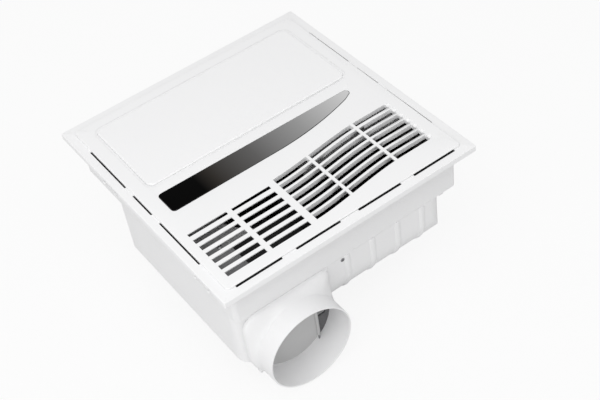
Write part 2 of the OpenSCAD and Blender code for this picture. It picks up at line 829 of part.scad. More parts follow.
// Torsion spring round the pin, wound by a formula, with a straight leg at each end
spring_wire_r = 0.3;
spring_r = pin_r + 0.25 + spring_wire_r;
spring_turns = 8;
spring_leg = 6;
spring_tail = 1.5;
spring_steps = 12;
function spring_centre(i) =
    let (
        last = spring_turns * spring_steps,
        k = min(max(i - 1, 0), last),
        a = 270 + 360 * k / spring_steps,
        leg = i == 0 ? -spring_leg : (i == last + 2 ? spring_tail : 0)
    )
        [
            spring_r * cos(a) - leg * sin(a), spring_r * sin(a) + leg * cos(a),
            0.8 + (spring_len - 1.6) * k / last, a
        ];
function spring_ring(i) =
    let (c = spring_centre(i))
        [for (j = [0:5]) let (t = 60 * j) [
            c[0] + spring_wire_r * cos(t) * cos(c[3]), c[1] + spring_wire_r * cos(t) * sin(c[3]),
            c[2] + spring_wire_r * sin(t)
        ]];

module flap_spring() color("silver") at_spigot() translate([pin_offset, pin_y, knuckle_z1]) {
    rings = spring_turns * spring_steps + 2;
    polyhedron(
        points = [for (i = [0:rings]) each spring_ring(i)],
        faces = concat(
            [[for (j = [0:5]) j]],
            [
                for (i = [0:rings - 1], j = [0:5])
                    let (a = 6 * i + j, b = 6 * i + (j + 1) % 6)
                        each [[a, a + 6, b], [a + 6, b + 6, b]]
            ],
            [[for (j = [5:-1:0]) 6 * rings + j]]
        )
    );
}

// ---- blower ----

ring_wall = 1.2;
bell_tip_r = inlet_r - 3.5;
bell_tip_z = z_floor - 11;
module inlet_ring() color("dimgray") at_blower() {
    z0 = z_floor + inlet_seat_h;
    turn_z = z0 + ring_wall - bell_r;
    rotate_extrude() polygon(concat(
        [[inlet_r + inlet_flange_w, z0 + ring_wall]],
        arc(inlet_r + bell_r, turn_z, bell_r, 90, 180, 6),
        [[bell_tip_r, bell_tip_z], [bell_tip_r + ring_wall, bell_tip_z]],
        arc(inlet_r + bell_r, turn_z, bell_r - ring_wall, 180, 90, 6),
        [[inlet_r + inlet_flange_w, z0]]
    ));
}

impeller_z1 = z_floor - 8;
impeller_z0 = impeller_z1 - impeller_h;
eye_r = inlet_r;
blade_arc_r = 9;
blade_t = 0.8;
blade_turn = 82;
hub_r = 12;
hub_top = impeller_z0 + 14;
plate_t = 1.6;
ring_h = 4;

module impeller() color("dimgray") at_blower() {
    rotate_extrude() polygon([
        [shaft_r + running, impeller_z0], [impeller_r, impeller_z0], [impeller_r, impeller_z0 + plate_t],
        [hub_r + 12, impeller_z0 + plate_t], [hub_r, hub_top], [shaft_r + running, hub_top]
    ]);
    rotate_extrude() translate([eye_r, impeller_z1 - ring_h]) square([impeller_r - eye_r, 1.2]);
    rotate_extrude() translate([impeller_r - 1.2, impeller_z1 - ring_h]) square([1.2, ring_h]);
    for (i = [0:blade_count - 1])
        rotate(i * 360 / blade_count) translate([eye_r + 0.8, blade_arc_r, impeller_z0 + plate_t - 0.2])
            rotate(-90) rotate_extrude(angle = blade_turn)
                translate([blade_arc_r - blade_t / 2, 0])
                    square([blade_t, impeller_h - plate_t - ring_h + 0.6]);
}

nut_h = 5;
washer_t = 1;
module impeller_nut() color("silver") at_blower() difference() {
    union() {
        translate([0, 0, hub_top]) cylinder(r = hub_r - 2, h = washer_t);
        translate([0, 0, hub_top + washer_t - eps]) cylinder(r = shaft_r + 3.5, h = nut_h, $fn = 6);
    }
    translate([0, 0, hub_top - 1]) cylinder(r = shaft_r + running, h = nut_h + 4);
}

motor_z0 = dome_z + dome_wall + 3;
motor_z1 = impeller_z0 - 6;
bearing_r = 11;
bearing_h = 7;
motor_wall = 1.6;
rotor_r = motor_r - 17;
rotor_z0 = motor_z0 + 12;
rotor_z1 = motor_z1 - 12;

module motor_shaft() color("silver") at_blower()
    translate([0, 0, motor_z0 + 1.5]) cylinder(r = shaft_r, h = hub_top + nut_h + 3 - motor_z0 - 1.5);

module motor_rotor() color("darkgray") at_blower() difference() {
    translate([0, 0, rotor_z0]) cylinder(r = rotor_r, h = rotor_z1 - rotor_z0);
    translate([0, 0, rotor_z0 - 1]) cylinder(r = shaft_r + running, h = 60);
}

module motor_stator() color("gray") at_blower() difference() {
    translate([0, 0, rotor_z0]) cylinder(r = motor_r - motor_wall - running, h = rotor_z1 - rotor_z0);
    translate([0, 0, rotor_z0 - 1]) cylinder(r = rotor_r + 0.5, h = 60);
}

module motor_windings() color("peru") at_blower()
    for (z = [rotor_z0 - 3.2, rotor_z1 + 3.2])
        rotate_extrude() translate([motor_r - 9, z]) circle(r = 3);

module motor_body() color("gray") at_blower() difference() {
    union() {
        difference() {
            translate([0, 0, motor_z0]) cylinder(r = motor_r, h = motor_z1 - motor_z0);
            translate([0, 0, motor_z0 + motor_wall])
                cylinder(r = motor_r - motor_wall, h = motor_z1 - motor_z0 - 2 * motor_wall);
        }
        translate([0, 0, motor_z0 + eps]) cylinder(r = bearing_r + 3, h = bearing_h + 1.2);
        translate([0, 0, motor_z1 - bearing_h - 1.2]) cylinder(r = bearing_r + 3, h = bearing_h + 1.2 - eps);
    }
    translate([0, 0, motor_z0 + 1.2]) cylinder(r = bearing_r + running, h = bearing_h + 1);
    translate([0, 0, motor_z1 - bearing_h]) cylinder(r = bearing_r + running, h = bearing_h + 1);
    translate([0, 0, motor_z1 - bearing_h - 2]) cylinder(r = bearing_r - 3, h = 4);
}

module motor_bearings() color("silver") at_blower()
    for (z = [motor_z0 + 1.2, motor_z1 - bearing_h])
        translate([0, 0, z]) difference() {
            cylinder(r = bearing_r, h = bearing_h);
            translate([0, 0, -1]) cylinder(r = shaft_r + running, h = bearing_h + 2);
        }

mount_ring_r = motor_r - 10;
module motor_mounts() color("black") at_blower()
    for (a = [30, 150, 270])
        rotate(a) translate([mount_ring_r, 0, dome_z + dome_wall])
            cylinder(r = 5, h = motor_z0 - dome_z - dome_wall);

module motor_dome() color("gray") at_blower() difference() {
    union() {
        rotate_extrude() polygon(concat(
            [[0, dome_z]],
            arc(dome_r + dome_wall - 8, dome_z + 8, 8, -90, 0, 6),
            [[dome_r + dome_wall, z_base - dome_wall], [dome_r + dome_flange_w, z_base - dome_wall],
             [dome_r + dome_flange_w, z_base], [dome_r, z_base]],
            arc(dome_r - 6, dome_z + dome_wall + 6, 6, 0, -90, 6),
            [[0, dome_z + dome_wall]]
        ));
    }
    for (a = dome_screw_angles)
        rotate(a) translate([dome_screw_r, 0, z_base - 4]) cylinder(r = screw_hole_r, h = 6);
}

// ---- changeover damper ----

damper_x0 = chamber_x0 + damper_boss_l + 0.4;
damper_x1 = chamber_x1 - 1;
module changeover_damper() color("gray") at_damper_axis() {
    block([damper_x0, -damper_t / 2, -damper_len], [damper_x1, damper_t / 2, 0]);
    rod_x(damper_shaft_r, chamber_x0 + 1.3, chamber_x1 + scroll_wall + 7);
    for (x = [damper_x0 + 8, (damper_x0 + damper_x1) / 2, damper_x1 - 8])
        translate([x, 0, 0]) rod_x(damper_shaft_r + 1, -2, 2);
}

module damper_seals() color("black") at_damper_axis()
    for (side = [-1, 1])
        difference() {
            block(
                [damper_x0 + 1, min(side * damper_t / 2, side * (damper_t / 2 + seal_t)), -damper_len],
                [damper_x1 - 1, max(side * damper_t / 2, side * (damper_t / 2 + seal_t)), -damper_shaft_r - 1.2]
            );
            block([opening_x0 + 8, -9, 12 - damper_len], [opening_x1 - 8, 9, -damper_shaft_r - 12]);
        }

gear_offset = 5.7;
gear_motor_r = 14;
gear_motor_x0 = chamber_x1 + scroll_wall + 0.1;
gear_motor_x1 = gear_motor_x0 + 19;
gear_ear_angles = [-20, -110];
gear_ear_r = 17.5;
gear_ear_t = 1;
module at_gear_motor() at_damper_axis() translate([0, gear_offset, -gear_offset]) children();
module at_gear_ears()
    for (a = gear_ear_angles)
        at_gear_motor() translate([0, gear_ear_r * cos(a), gear_ear_r * sin(a)]) children();

module damper_motor() color("silver") difference() {
    union() {
        at_gear_motor() rod_x(gear_motor_r, gear_motor_x0, gear_motor_x1);
        at_gear_ears() rod_x(3.4, gear_motor_x0, gear_motor_x0 + gear_ear_t);
        at_gear_motor()
            for (a = gear_ear_angles)
                rotate([a, 0, 0]) block([gear_motor_x0, 0, -3], [gear_motor_x0 + gear_ear_t, gear_ear_r, 3]);
        at_gear_motor()
            block([gear_motor_x0 + 6, gear_motor_r - 3, -6], [gear_motor_x1 - 2, gear_motor_r + 4, 6]);
    }
    at_damper_axis() rod_x(damper_shaft_r + running, gear_motor_x0 - 1, gear_motor_x0 + 9);
    at_gear_ears() rod_x(screw_core_r + fit, gear_motor_x0 - 1, gear_motor_x0 + 3);
}

// ---- heater ----

duct_y0 = front + wall + 1.5;
duct_z0 = z_floor + wall;
tunnel_x0 = casing_left + wall + 1.5;
tunnel_x1 = left + 116.5;
tunnel_y1 = floor_opening_y1 + 7;
tunnel_z1 = duct_z0 + 27;
riser_x0 = -clip_x + 6;
riser_x1 = -panel_w / 2 + 56;
riser_y1 = tunnel_y1 - 1.5;
riser_z1 = -12;
heater_x1 = right - 11;
heater_y0 = duct_y0 + 5;
heater_y1 = blower_y - inlet_r - inlet_flange_w - 2;
heater_z1 = -2;

// Tab across the riser's back edge that takes the cover's screw
module riser_tab() difference() {
    block([cover_hole_x - 5, riser_y1 - 10, riser_z1 - sheet], [cover_hole_x + 5, riser_y1 - eps, riser_z1]);
    translate([cover_hole_x, cover_hole_y, riser_z1 - 2]) cylinder(r = screw_core_r, h = 3);
}

module heater_duct() color([0.12, 0.12, 0.12]) {
    heater_duct_sheets();
    riser_tab();
}

module heater_duct_sheets() difference() {
    union() {
        block([tunnel_x0, duct_y0, duct_z0], [tunnel_x1 + sheet, tunnel_y1, tunnel_z1]);
        block([riser_x0, duct_y0 + 2, tunnel_z1 - 1], [riser_x1, riser_y1, riser_z1]);
        block([tunnel_x1, heater_y0, duct_z0], [heater_x1, heater_y1, heater_z1]);
    }
    block(
        [tunnel_x0 + sheet, duct_y0 + sheet, duct_z0 - 1],
        [tunnel_x1 - eps, tunnel_y1 - sheet, tunnel_z1 - sheet]
    );
    block(
        [tunnel_x1 - 1, heater_y0 + sheet, duct_z0 + sheet],
        [tunnel_x1 + 1, min(tunnel_y1, heater_y1) - sheet, tunnel_z1 - sheet]
    );
    block(
        [riser_x0 + sheet, duct_y0 + 2 + sheet, tunnel_z1 - 2],
        [riser_x1 - sheet, riser_y1 - sheet, riser_z1 + 1]
    );
    block(
        [tunnel_x1 + sheet, heater_y0 + sheet, duct_z0 + sheet],
        [heater_x1 - sheet, heater_y1 - sheet, heater_z1 + 1]
    );
}

element_span_y = heater_y1 - heater_y0 - 2 * sheet - 6;
element_pitch = element_span_y / element_count;
element_z = heater_z1 - 22;
fin_h = 20;
fin_t = 0.5;
fin_x0 = tunnel_x1 + 11;
fin_x1 = heater_x1 - 11;
bar_h = 5;
fin_pitch = (fin_x1 - fin_x0) / fin_count;
cap_w = 6;
cap_x = [fin_x0 - 9, fin_x1 + 9 - cap_w];
function element_y(i) = (heater_y0 + heater_y1) / 2 + (i - (element_count - 1) / 2) * element_pitch;

// Comb-shaped section of one element: a flat bar with thin fins above and below it
module fin_comb() {
    top = [
        for (i = [0:fin_count - 1])
            let (x = fin_x0 + (i + 0.5) * fin_pitch)
                each [[x, bar_h / 2], [x, fin_h / 2], [x + fin_t, fin_h / 2], [x + fin_t, bar_h / 2]]
    ];
    bottom = [for (i = [len(top) - 1:-1:0]) [top[i].x, -top[i].y]];
    left_end = [[fin_x0, -bar_h / 2], [fin_x0, bar_h / 2]];
    right_end = [[fin_x1, bar_h / 2], [fin_x1, -bar_h / 2]];
    polygon(concat(left_end, top, right_end, bottom));
}

module heater_elements() color("silver")
    for (i = [0:element_count - 1])
        translate([0, element_y(i), element_z]) {
            along_y(-min(fin_d, element_pitch - 2) / 2, min(fin_d, element_pitch - 2) / 2) fin_comb();
            rod_x(2.2, cap_x[0] + 1, cap_x[1] + cap_w - 1);
        }

module heater_end_caps() color("wheat")
    for (x = cap_x)
        difference() {
            block(
                [x, heater_y0 + sheet + 1, duct_z0 + sheet],
                [x + cap_w, heater_y1 - sheet - 1, element_z + fin_h / 2 + 2]
            );
            block(
                [x - 1, heater_y0 + sheet + 5, duct_z0],
                [x + cap_w + 1, heater_y1 - sheet - 5, element_z - fin_h / 2 - 2]
            );
            for (i = [0:element_count - 1])
                translate([0, element_y(i), element_z]) rod_x(2.2 + running, x - 1, x + cap_w + 1);
        }

thermostat_x = 60;
module thermostat() color("wheat") translate([thermostat_x, heater_y1, -26]) {
    block([-11, 0, -3.5], [11, 0.8, 3.5]);
    rod_y(8, 0, 6);
    for (x = [-4, 4]) block([x - 1.6, 6 - eps, -0.4], [x + 1.6, 12, 0.4]);
}

fuse_x = 92;
module thermal_fuse() color("silver") translate([fuse_x, heater_y1, -20]) {
    block([-3, 0, -3], [3, 0.6, 3]);
    translate([0, 2.4, 0]) rod_x(1.9, -6, 6);
    translate([0, 2.4, 0]) rod_x(0.5, -16, 16);
}

cover_t = 0.8;
cover_hole_x = riser_x1 - 10;
cover_hole_y = riser_y1 - 5;
module duct_cover() color("gray") difference() {
    block([tunnel_x0 + 1, duct_y0 + 2, riser_z1], [riser_x1, riser_y1, riser_z1 + cover_t]);
    block(
        [-big, -clip_y - hook_w / 2 - 3, riser_z1 - 1],
        [riser_x0 - 1, -clip_y + hook_w / 2 + 3, riser_z1 + 2]
    );
    translate([cover_hole_x, cover_hole_y, riser_z1 - 1]) cylinder(r = screw_hole_r, h = 3);
}

// ---- controls ----

box_x0 = -60;
box_x1 = 120;
box_y0 = window_y + 20;
box_y1 = back - wall - 2.5;
ctrl_z1 = -16;
ctrl_wall = 1.6;
standoff_h = 4;
ctrl_board_x1 = box_x0 + 120;

module control_box() color("whitesmoke") {
    difference() {
        pad([box_x0, box_y0, duct_z0], [box_x1, box_y1, ctrl_z1 - ctrl_wall], 3);
        pad(
            [box_x0 + ctrl_wall, box_y0 + ctrl_wall, duct_z0 + ctrl_wall],
            [box_x1 - ctrl_wall, box_y1 - ctrl_wall, ctrl_z1 + 1], 1.4
        );
        translate([grommet_x, 0, grommet_z]) rod_y(6, box_y1 - 4, box_y1 + 1);
    }
    for (x = [box_x0 + 10, ctrl_board_x1 - 6], y = [box_y0 + 8, box_y1 - 8])
        translate([x, y, duct_z0 + ctrl_wall - eps]) cylinder(r = 3, h = standoff_h + eps);
}

module control_lid() color("whitesmoke")
    pad([box_x0, box_y0, ctrl_z1 - ctrl_wall], [box_x1, box_y1, ctrl_z1], 3);

board_z = duct_z0 + ctrl_wall + standoff_h;
module control_board() color("darkgreen") {
    block([box_x0 + 5, box_y0 + 4, board_z], [ctrl_board_x1, box_y1 - 4, board_z + 1.6]);
    for (i = [0:3])
        block(
            [box_x0 + 14 + i * 20, box_y0 + 8, board_z + 1.5],
            [box_x0 + 29 + i * 20, box_y0 + 27, board_z + 17]
        );
    block([ctrl_board_x1 - 24, box_y0 + 8, board_z + 1.5], [ctrl_board_x1 - 8, box_y0 + 28, board_z + 14]);
    for (i = [0:4])
        block(
            [box_x0 + 12 + i * 18, box_y1 - 14, board_z + 1.5],
            [box_x0 + 24 + i * 18, box_y1 - 7, board_z + 9]
        );
}

module run_capacitor() color("black") {
    pad(
        [ctrl_board_x1 + 6, box_y0 + 3, duct_z0 + ctrl_wall],
        [ctrl_board_x1 + 46, box_y0 + 21, duct_z0 + 28], 2
    );
}

terminal_count = 5;
module terminal_block() color("ivory") {
    x0 = ctrl_board_x1 + 5;
    w = 10 * terminal_count;
    difference() {
        block([x0, box_y1 - 20, duct_z0 + ctrl_wall], [x0 + w, box_y1 - 6, duct_z0 + 17]);
        for (i = [0:terminal_count - 1])
            translate([x0 + 5 + 10 * i, box_y1 - 13, duct_z0 + 11]) {
                cylinder(r = 2.6, h = 10);
                rod_y(2, -10, 10);
            }
    }
}

grommet_bore_r = 4.5;
module cable_grommet() color("dimgray") translate([grommet_x, back - wall, grommet_z]) rotate([-90, 0, 0])
    rotate_extrude() polygon([
        [grommet_bore_r, -2], [grommet_hole_r + 2.2, -2], [grommet_hole_r + 2.2, -0.1],
        [grommet_hole_r - fit, -0.1], [grommet_hole_r - fit, wall + 0.1], [grommet_hole_r + 2.2, wall + 0.1],
        [grommet_hole_r + 2.2, wall + 2.2], [grommet_bore_r + 1.8, wall + 8], [grommet_bore_r, wall + 8]
    ]);

// ---- fasteners ----

// U-shaped spring clip that grips a hook plate of the face panel
clip_w = 20;
clip_t = 0.6;
clip_rise = 9;
module panel_clips() color("silver") translate([0, 0, clip_seat_z]) at_clips() {
    gap = hook_t / 2 + 0.25;
    block([-gap - clip_t, -clip_w / 2, 0], [gap + clip_t, clip_w / 2, clip_t]);
    for (side = [-1, 1]) {
        x = side * (gap + clip_t / 2);
        block([x - clip_t / 2, -clip_w / 2, 0], [x + clip_t / 2, clip_w / 2, clip_rise]);
        translate([x + side * 0.6, 0, clip_rise]) rod_y(0.9, -clip_w / 2, clip_w / 2);
    }
}

module casing_screws() color("silver") {
    for (p = casing_lugs())
        translate([p.x, p.y, z_floor - lug_h]) rotate([180, 0, 0])
            screw(3.4, 2, lug_hole_r - 0.05, lug_h + wall);
    translate([front_screw.x, front, front_screw.y]) rotate([90, 0, 0])
        screw(front_head_r, 1.2, screw_core_r - 0.05, wall + fit + 4);
}

module duct_screws() color("silver")
    for (p = outlet_screws())
        translate([p.x, front + wall, p.y]) rotate([-90, 0, 0])
            screw(3, 1.8, screw_core_r - 0.05, wall + hood_gap + screw_bite);

module small_screws() color("silver") {
    at_dome_screws() translate([0, 0, z_base - dome_wall])
        rotate([180, 0, 0]) screw(2.8, 1.6, screw_core_r - 0.05, dome_wall + wall);
    at_gear_ears() translate([gear_motor_x0 + gear_ear_t, 0, 0]) rotate([0, 90, 0])
        screw(2.4, 1.4, screw_core_r - 0.05, gear_ear_t + scroll_wall);
    translate([cover_hole_x, cover_hole_y, riser_z1 + cover_t])
        screw(2.8, 1.4, screw_core_r - 0.05, cover_t + sheet);
}

face_panel();
light_diffuser();
accent_strip();
light_tray();
light_board();
light_driver();
main_housing();
blower_casing();
outlet_duct();
draught_flap();
flap_pin();
flap_spring();
inlet_ring();
impeller();
impeller_nut();
motor_shaft();
motor_rotor();
motor_stator();
motor_windings();
motor_body();
motor_bearings();
motor_mounts();
motor_dome();
changeover_damper();
damper_seals();
damper_motor();
heater_duct();
heater_elements();
heater_end_caps();
thermostat();
thermal_fuse();
duct_cover();
control_box();
control_lid();
control_board();
run_capacitor();
terminal_block();
cable_grommet();
panel_clips();
casing_screws();
duct_screws();
small_screws();
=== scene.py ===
"""Looks of a ceiling mounted fan heater that lies on its back, seen as in a product photograph.

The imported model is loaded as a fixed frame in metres. Each visible sub-assembly is a class that
builds its own meshes around that frame and dresses them in a finish.
"""

from __future__ import annotations

import json
import logging
import math
from collections.abc import Callable, Iterator, Sequence
from contextlib import contextmanager
from dataclasses import dataclass
from enum import Enum
from typing import ClassVar

import bmesh
import bpy
from bpy.types import Material, MeshPolygon, Node, Object
from mathutils import Matrix, Vector


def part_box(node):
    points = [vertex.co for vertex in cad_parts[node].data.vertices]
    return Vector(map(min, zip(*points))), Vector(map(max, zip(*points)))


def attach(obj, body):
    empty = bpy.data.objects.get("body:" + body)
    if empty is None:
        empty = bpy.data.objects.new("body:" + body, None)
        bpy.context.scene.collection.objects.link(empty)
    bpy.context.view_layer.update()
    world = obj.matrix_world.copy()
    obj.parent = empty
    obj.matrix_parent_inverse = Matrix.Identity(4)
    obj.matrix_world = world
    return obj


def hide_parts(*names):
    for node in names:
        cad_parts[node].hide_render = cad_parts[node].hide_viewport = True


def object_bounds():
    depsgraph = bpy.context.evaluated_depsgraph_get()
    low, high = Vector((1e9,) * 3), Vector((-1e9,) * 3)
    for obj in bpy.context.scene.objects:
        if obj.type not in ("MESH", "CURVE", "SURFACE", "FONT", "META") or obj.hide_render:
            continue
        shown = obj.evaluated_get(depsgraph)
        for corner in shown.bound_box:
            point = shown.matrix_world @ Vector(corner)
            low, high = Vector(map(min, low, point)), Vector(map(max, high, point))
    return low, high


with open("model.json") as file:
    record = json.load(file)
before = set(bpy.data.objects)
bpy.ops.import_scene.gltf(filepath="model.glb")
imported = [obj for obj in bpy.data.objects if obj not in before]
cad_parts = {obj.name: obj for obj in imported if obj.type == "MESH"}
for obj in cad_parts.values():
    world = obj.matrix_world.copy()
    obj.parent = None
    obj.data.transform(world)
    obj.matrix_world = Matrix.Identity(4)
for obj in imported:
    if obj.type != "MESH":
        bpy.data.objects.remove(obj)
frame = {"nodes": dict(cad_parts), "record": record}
CAD_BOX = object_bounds()

LOG = logging.getLogger("fan_heater")
MM = 0.001
Colour = tuple[float, float, float]
Point = tuple[float, float, float]
Stops = Sequence[tuple[float, Colour]]

# Most of a noise's values lie between these
NOISE_LOW = 0.3
NOISE_HIGH = 0.7
# Edges and faces are picked by their place to within this distance
NEAR = 0.1 * MM
# Points of a CAD mesh that are closer than this are one point
SAME_POINT = 0.002 * MM
# A tile's edge is rounded where it turns by more than this many degrees
STEEP = 60.0
# Stands in for a sine or cosine of zero where it divides
TINY = 1e-6


class Meeting(Enum):
    """What a boolean leaves of a piece and its tool."""

    CUT = "DIFFERENCE"
    MERGE = "UNION"
    COMMON = "INTERSECT"


# ---------------- finishes


class Graph:
    """A small builder for one node material."""

    def __init__(self, name: str) -> None:
        """Starts an empty material.

        Args:
            name: The material's name.
        """
        self.material = bpy.data.materials.new(name)
        self.material.use_nodes = True
        self.nodes = self.material.node_tree.nodes
        self.links = self.material.node_tree.links
        self.nodes.clear()
        self.output = self.nodes.new("ShaderNodeOutputMaterial")
        self.shader = self.nodes.new("ShaderNodeBsdfPrincipled")
        self.link(self.shader, "BSDF", self.output, "Surface")
        self.place = self.nodes.new("ShaderNodeTexCoord")

    def link(self, source: Node, out: str, target: Node, into: str) -> None:
        """Joins two sockets by name."""
        self.links.new(source.outputs[out], target.inputs[into])

    def noise(self, scale: float, detail: float = 2.0, stretch: Point = (1, 1, 1)) -> Node:
        """Adds noise on object coordinates.

        Args:
            scale: Features per metre.
            detail: Octaves of finer noise.
            stretch: Scale along each axis, for brushed or drawn surfaces.

        Returns:
            The noise node.
        """
        mapping = self.nodes.new("ShaderNodeMapping")
        mapping.inputs["Scale"].default_value = stretch
        self.link(self.place, "Object", mapping, "Vector")
        texture = self.nodes.new("ShaderNodeTexNoise")
        texture.inputs["Scale"].default_value = scale
        texture.inputs["Detail"].default_value = detail
        self.link(mapping, "Vector", texture, "Vector")
        return texture

    def ramp(self, source: Node, out: str, stops: Stops) -> Node:
        """Maps a value to colours.

        Args:
            source: The node that gives the value.
            out: Its output socket.
            stops: Positions from 0 to 1, each with its colour.

        Returns:
            The colour ramp node.
        """
        ramp = self.nodes.new("ShaderNodeValToRGB")
        while len(ramp.color_ramp.elements) < len(stops):
            ramp.color_ramp.elements.new(0.5)
        for element, (position, colour) in zip(ramp.color_ramp.elements, stops):
            element.position = position
            element.color = (*colour, 1.0)
        self.link(source, out, ramp, "Fac")
        return ramp

    def tint(self, source: Node, colour: Colour, low: float, high: float) -> None:
        """Colours the shader by a noise, from the colour times low to the colour times high."""
        stops = [(NOISE_LOW, shade(colour, low)), (NOISE_HIGH, shade(colour, high))]
        self.link(self.ramp(source, "Fac", stops), "Color", self.shader, "Base Color")

    def gloss(self, scale: float, detail: float, low: float, high: float) -> None:
        """Lets the shader's roughness wander between two values.

        Args:
            scale: Features per metre.
            detail: Octaves of finer noise.
            low: Lowest usual roughness.
            high: Highest usual roughness.
        """
        spread = self.nodes.new("ShaderNodeMapRange")
        spread.inputs["From Min"].default_value = NOISE_LOW
        spread.inputs["From Max"].default_value = NOISE_HIGH
        spread.inputs["To Min"].default_value = low
        spread.inputs["To Max"].default_value = high
        self.link(self.noise(scale, detail), "Fac", spread, "Value")
        self.link(spread, "Result", self.shader, "Roughness")

    def bump(self, height: Node, distance: float, strength: float, edge: float = 0.0) -> None:
        """Drives the shader's normal by a height.

        Args:
            height: Node whose first output is the height.
            distance: Height of the relief in metres.
            strength: Share of the relief that shows.
            edge: Radius by which sharp edges catch the light, in metres.
        """
        node = self.nodes.new("ShaderNodeBump")
        node.inputs["Distance"].default_value = distance
        node.inputs["Strength"].default_value = strength
        self.links.new(height.outputs[0], node.inputs["Height"])
        if edge:
            soft = self.nodes.new("ShaderNodeBevel")
            soft.samples = 4
            soft.inputs["Radius"].default_value = edge
            self.link(soft, "Normal", node, "Normal")
        self.link(node, "Normal", self.shader, "Normal")

    def set(self, **values: float) -> None:
        """Sets the shader's own sockets, with _ for a space in their names."""
        for name, value in values.items():
            self.shader.inputs[name.replace("_", " ")].default_value = value


def shade(colour: Colour, factor: float) -> Colour:
    """Returns the colour made darker or lighter by a factor."""
    return tuple(min(channel * factor, 1.0) for channel in colour)


@dataclass(frozen=True)
class Finish:
    """A named recipe for one material."""

    name: str

    def build(self) -> Material:
        """Builds the material.

        Returns:
            The finished material.
        """
        g = Graph(self.name)
        self.fill(g)
        return g.material

    def fill(self, g: Graph) -> None:
        """Adds the recipe's nodes to an empty material."""
        raise NotImplementedError


@dataclass(frozen=True)
class MouldedPlastic(Finish):
    """Moulded plastic: faint cloudiness, uneven gloss and a fine spark-eroded grain."""

    colour: Colour
    roughness: float = 0.38
    grain: float = 0.25
    grain_size: float = 0.9 * MM
    grain_depth: float = 0.04 * MM
    cloud: float = 0.015
    cloud_scale: float = 14.0
    gloss_range: float = 0.055
    smear_scale: float = 55.0
    translucency: float = 0.0
    light_depth: float = 2.0
    edge: float = 0.3 * MM

    def fill(self, g: Graph) -> None:
        """Adds clouds, an uneven gloss and the mould's grain.

        Args:
            g: The material to fill.
        """
        clouds = g.noise(self.cloud_scale, detail=3.0)
        g.tint(clouds, self.colour, 1 - self.cloud, 1 + self.cloud)
        g.gloss(self.smear_scale, 4.0, self.roughness - self.gloss_range, self.roughness + self.gloss_range)
        g.bump(g.noise(1 / self.grain_size, detail=3.0), self.grain_depth, self.grain, self.edge)
        if self.translucency:
            g.shader.inputs["Subsurface Radius"].default_value = (self.light_depth,) * 3
            g.set(Subsurface_Weight=self.translucency, Subsurface_Scale=MM)


@dataclass(frozen=True)
class FadedTrim(Finish):
    """Glossy back-painted trim that fades along its length from black to silver grey."""

    start_x: float
    end_x: float
    stops: Stops
    sheen: float = 0.03
    flake_scale: float = 2600.0
    flake_share: float = 0.08
    gloss_scale: float = 40.0
    roughness: tuple[float, float] = (0.16, 0.26)

    def fill(self, g: Graph) -> None:
        """Adds the fade with its flakes, and the gloss.

        Args:
            g: The material to fill.
        """
        split = g.nodes.new("ShaderNodeSeparateXYZ")
        g.link(g.place, "Object", split, "Vector")
        along = g.nodes.new("ShaderNodeMapRange")
        along.inputs["From Min"].default_value = self.start_x
        along.inputs["From Max"].default_value = self.end_x
        g.link(split, "X", along, "Value")
        fade = g.ramp(along, "Result", self.stops)
        flakes = g.noise(self.flake_scale, detail=1.0)
        mix = g.nodes.new("ShaderNodeMixRGB")
        mix.blend_type = "OVERLAY"
        mix.inputs["Fac"].default_value = self.flake_share
        g.link(fade, "Color", mix, "Color1")
        g.link(flakes, "Fac", mix, "Color2")
        g.link(mix, "Color", g.shader, "Base Color")
        g.gloss(self.gloss_scale, 4.0, *self.roughness)
        g.set(Specular_IOR_Level=self.sheen)


@dataclass(frozen=True)
class DrawnMetal(Finish):
    """Bare or plated metal with fine drawn lines."""

    colour: Colour
    roughness: float = 0.34
    stretch: Point = (1.0, 1.0, 14.0)
    line_scale: float = 420.0
    line_depth: float = 0.02 * MM
    shades: tuple[float, float] = (0.86, 1.08)
    gloss_scale: float = 90.0
    smoother: float = 0.08
    rougher: float = 0.1

    def fill(self, g: Graph) -> None:
        """Adds the drawn lines and the gloss.

        Args:
            g: The material to fill.
        """
        lines = g.noise(self.line_scale, 3.0, self.stretch)
        g.tint(lines, self.colour, *self.shades)
        g.gloss(self.gloss_scale, 3.0, self.roughness - self.smoother, self.roughness + self.rougher)
        g.bump(lines, self.line_depth, strength=0.3)
        g.set(Metallic=1.0)


@dataclass(frozen=True)
class PaintedSteel(Finish):
    """Sheet steel under a thin powder coat with an orange-peel skin."""

    colour: Colour
    roughness: float = 0.5
    cloud_scale: float = 22.0
    shades: tuple[float, float] = (0.93, 1.06)
    gloss_scale: float = 130.0
    smoother: float = 0.06
    rougher: float = 0.08
    peel_scale: float = 620.0
    peel_depth: float = 0.05 * MM

    def fill(self, g: Graph) -> None:
        """Adds clouds, an uneven gloss and the orange peel.

        Args:
            g: The material to fill.
        """
        g.tint(g.noise(self.cloud_scale, detail=4.0), self.colour, *self.shades)
        g.gloss(self.gloss_scale, 3.0, self.roughness - self.smoother, self.roughness + self.rougher)
        g.bump(g.noise(self.peel_scale), self.peel_depth, strength=0.35)


@dataclass(frozen=True)
class SoftPolymer(Finish):
    """Rubber or foam: dull, with open pores."""

    colour: Colour
    pore_scale: float = 1500.0
    roughness: float = 0.82
    pore_depth: float = 0.06 * MM
    pore_painted_shade: float = 0.6
    pore_edge: float = 0.5
    gloss_scale: float = 200.0
    gloss_range: float = 0.06

    def fill(self, g: Graph) -> None:
        """Adds the pores, with painted shade in their pits, and the gloss.

        Args:
            g: The material to fill.
        """
        pores = g.nodes.new("ShaderNodeTexVoronoi")
        pores.inputs["Scale"].default_value = self.pore_scale
        g.link(g.place, "Object", pores, "Vector")
        # painted shade: each pore is darker towards its pit
        stops = [(0.0, shade(self.colour, self.pore_painted_shade)), (self.pore_edge, self.colour)]
        g.link(g.ramp(pores, "Distance", stops), "Color", g.shader, "Base Color")
        g.gloss(self.gloss_scale, 2.0, self.roughness - self.gloss_range, self.roughness + self.gloss_range)
        g.bump(pores, self.pore_depth, strength=0.4)


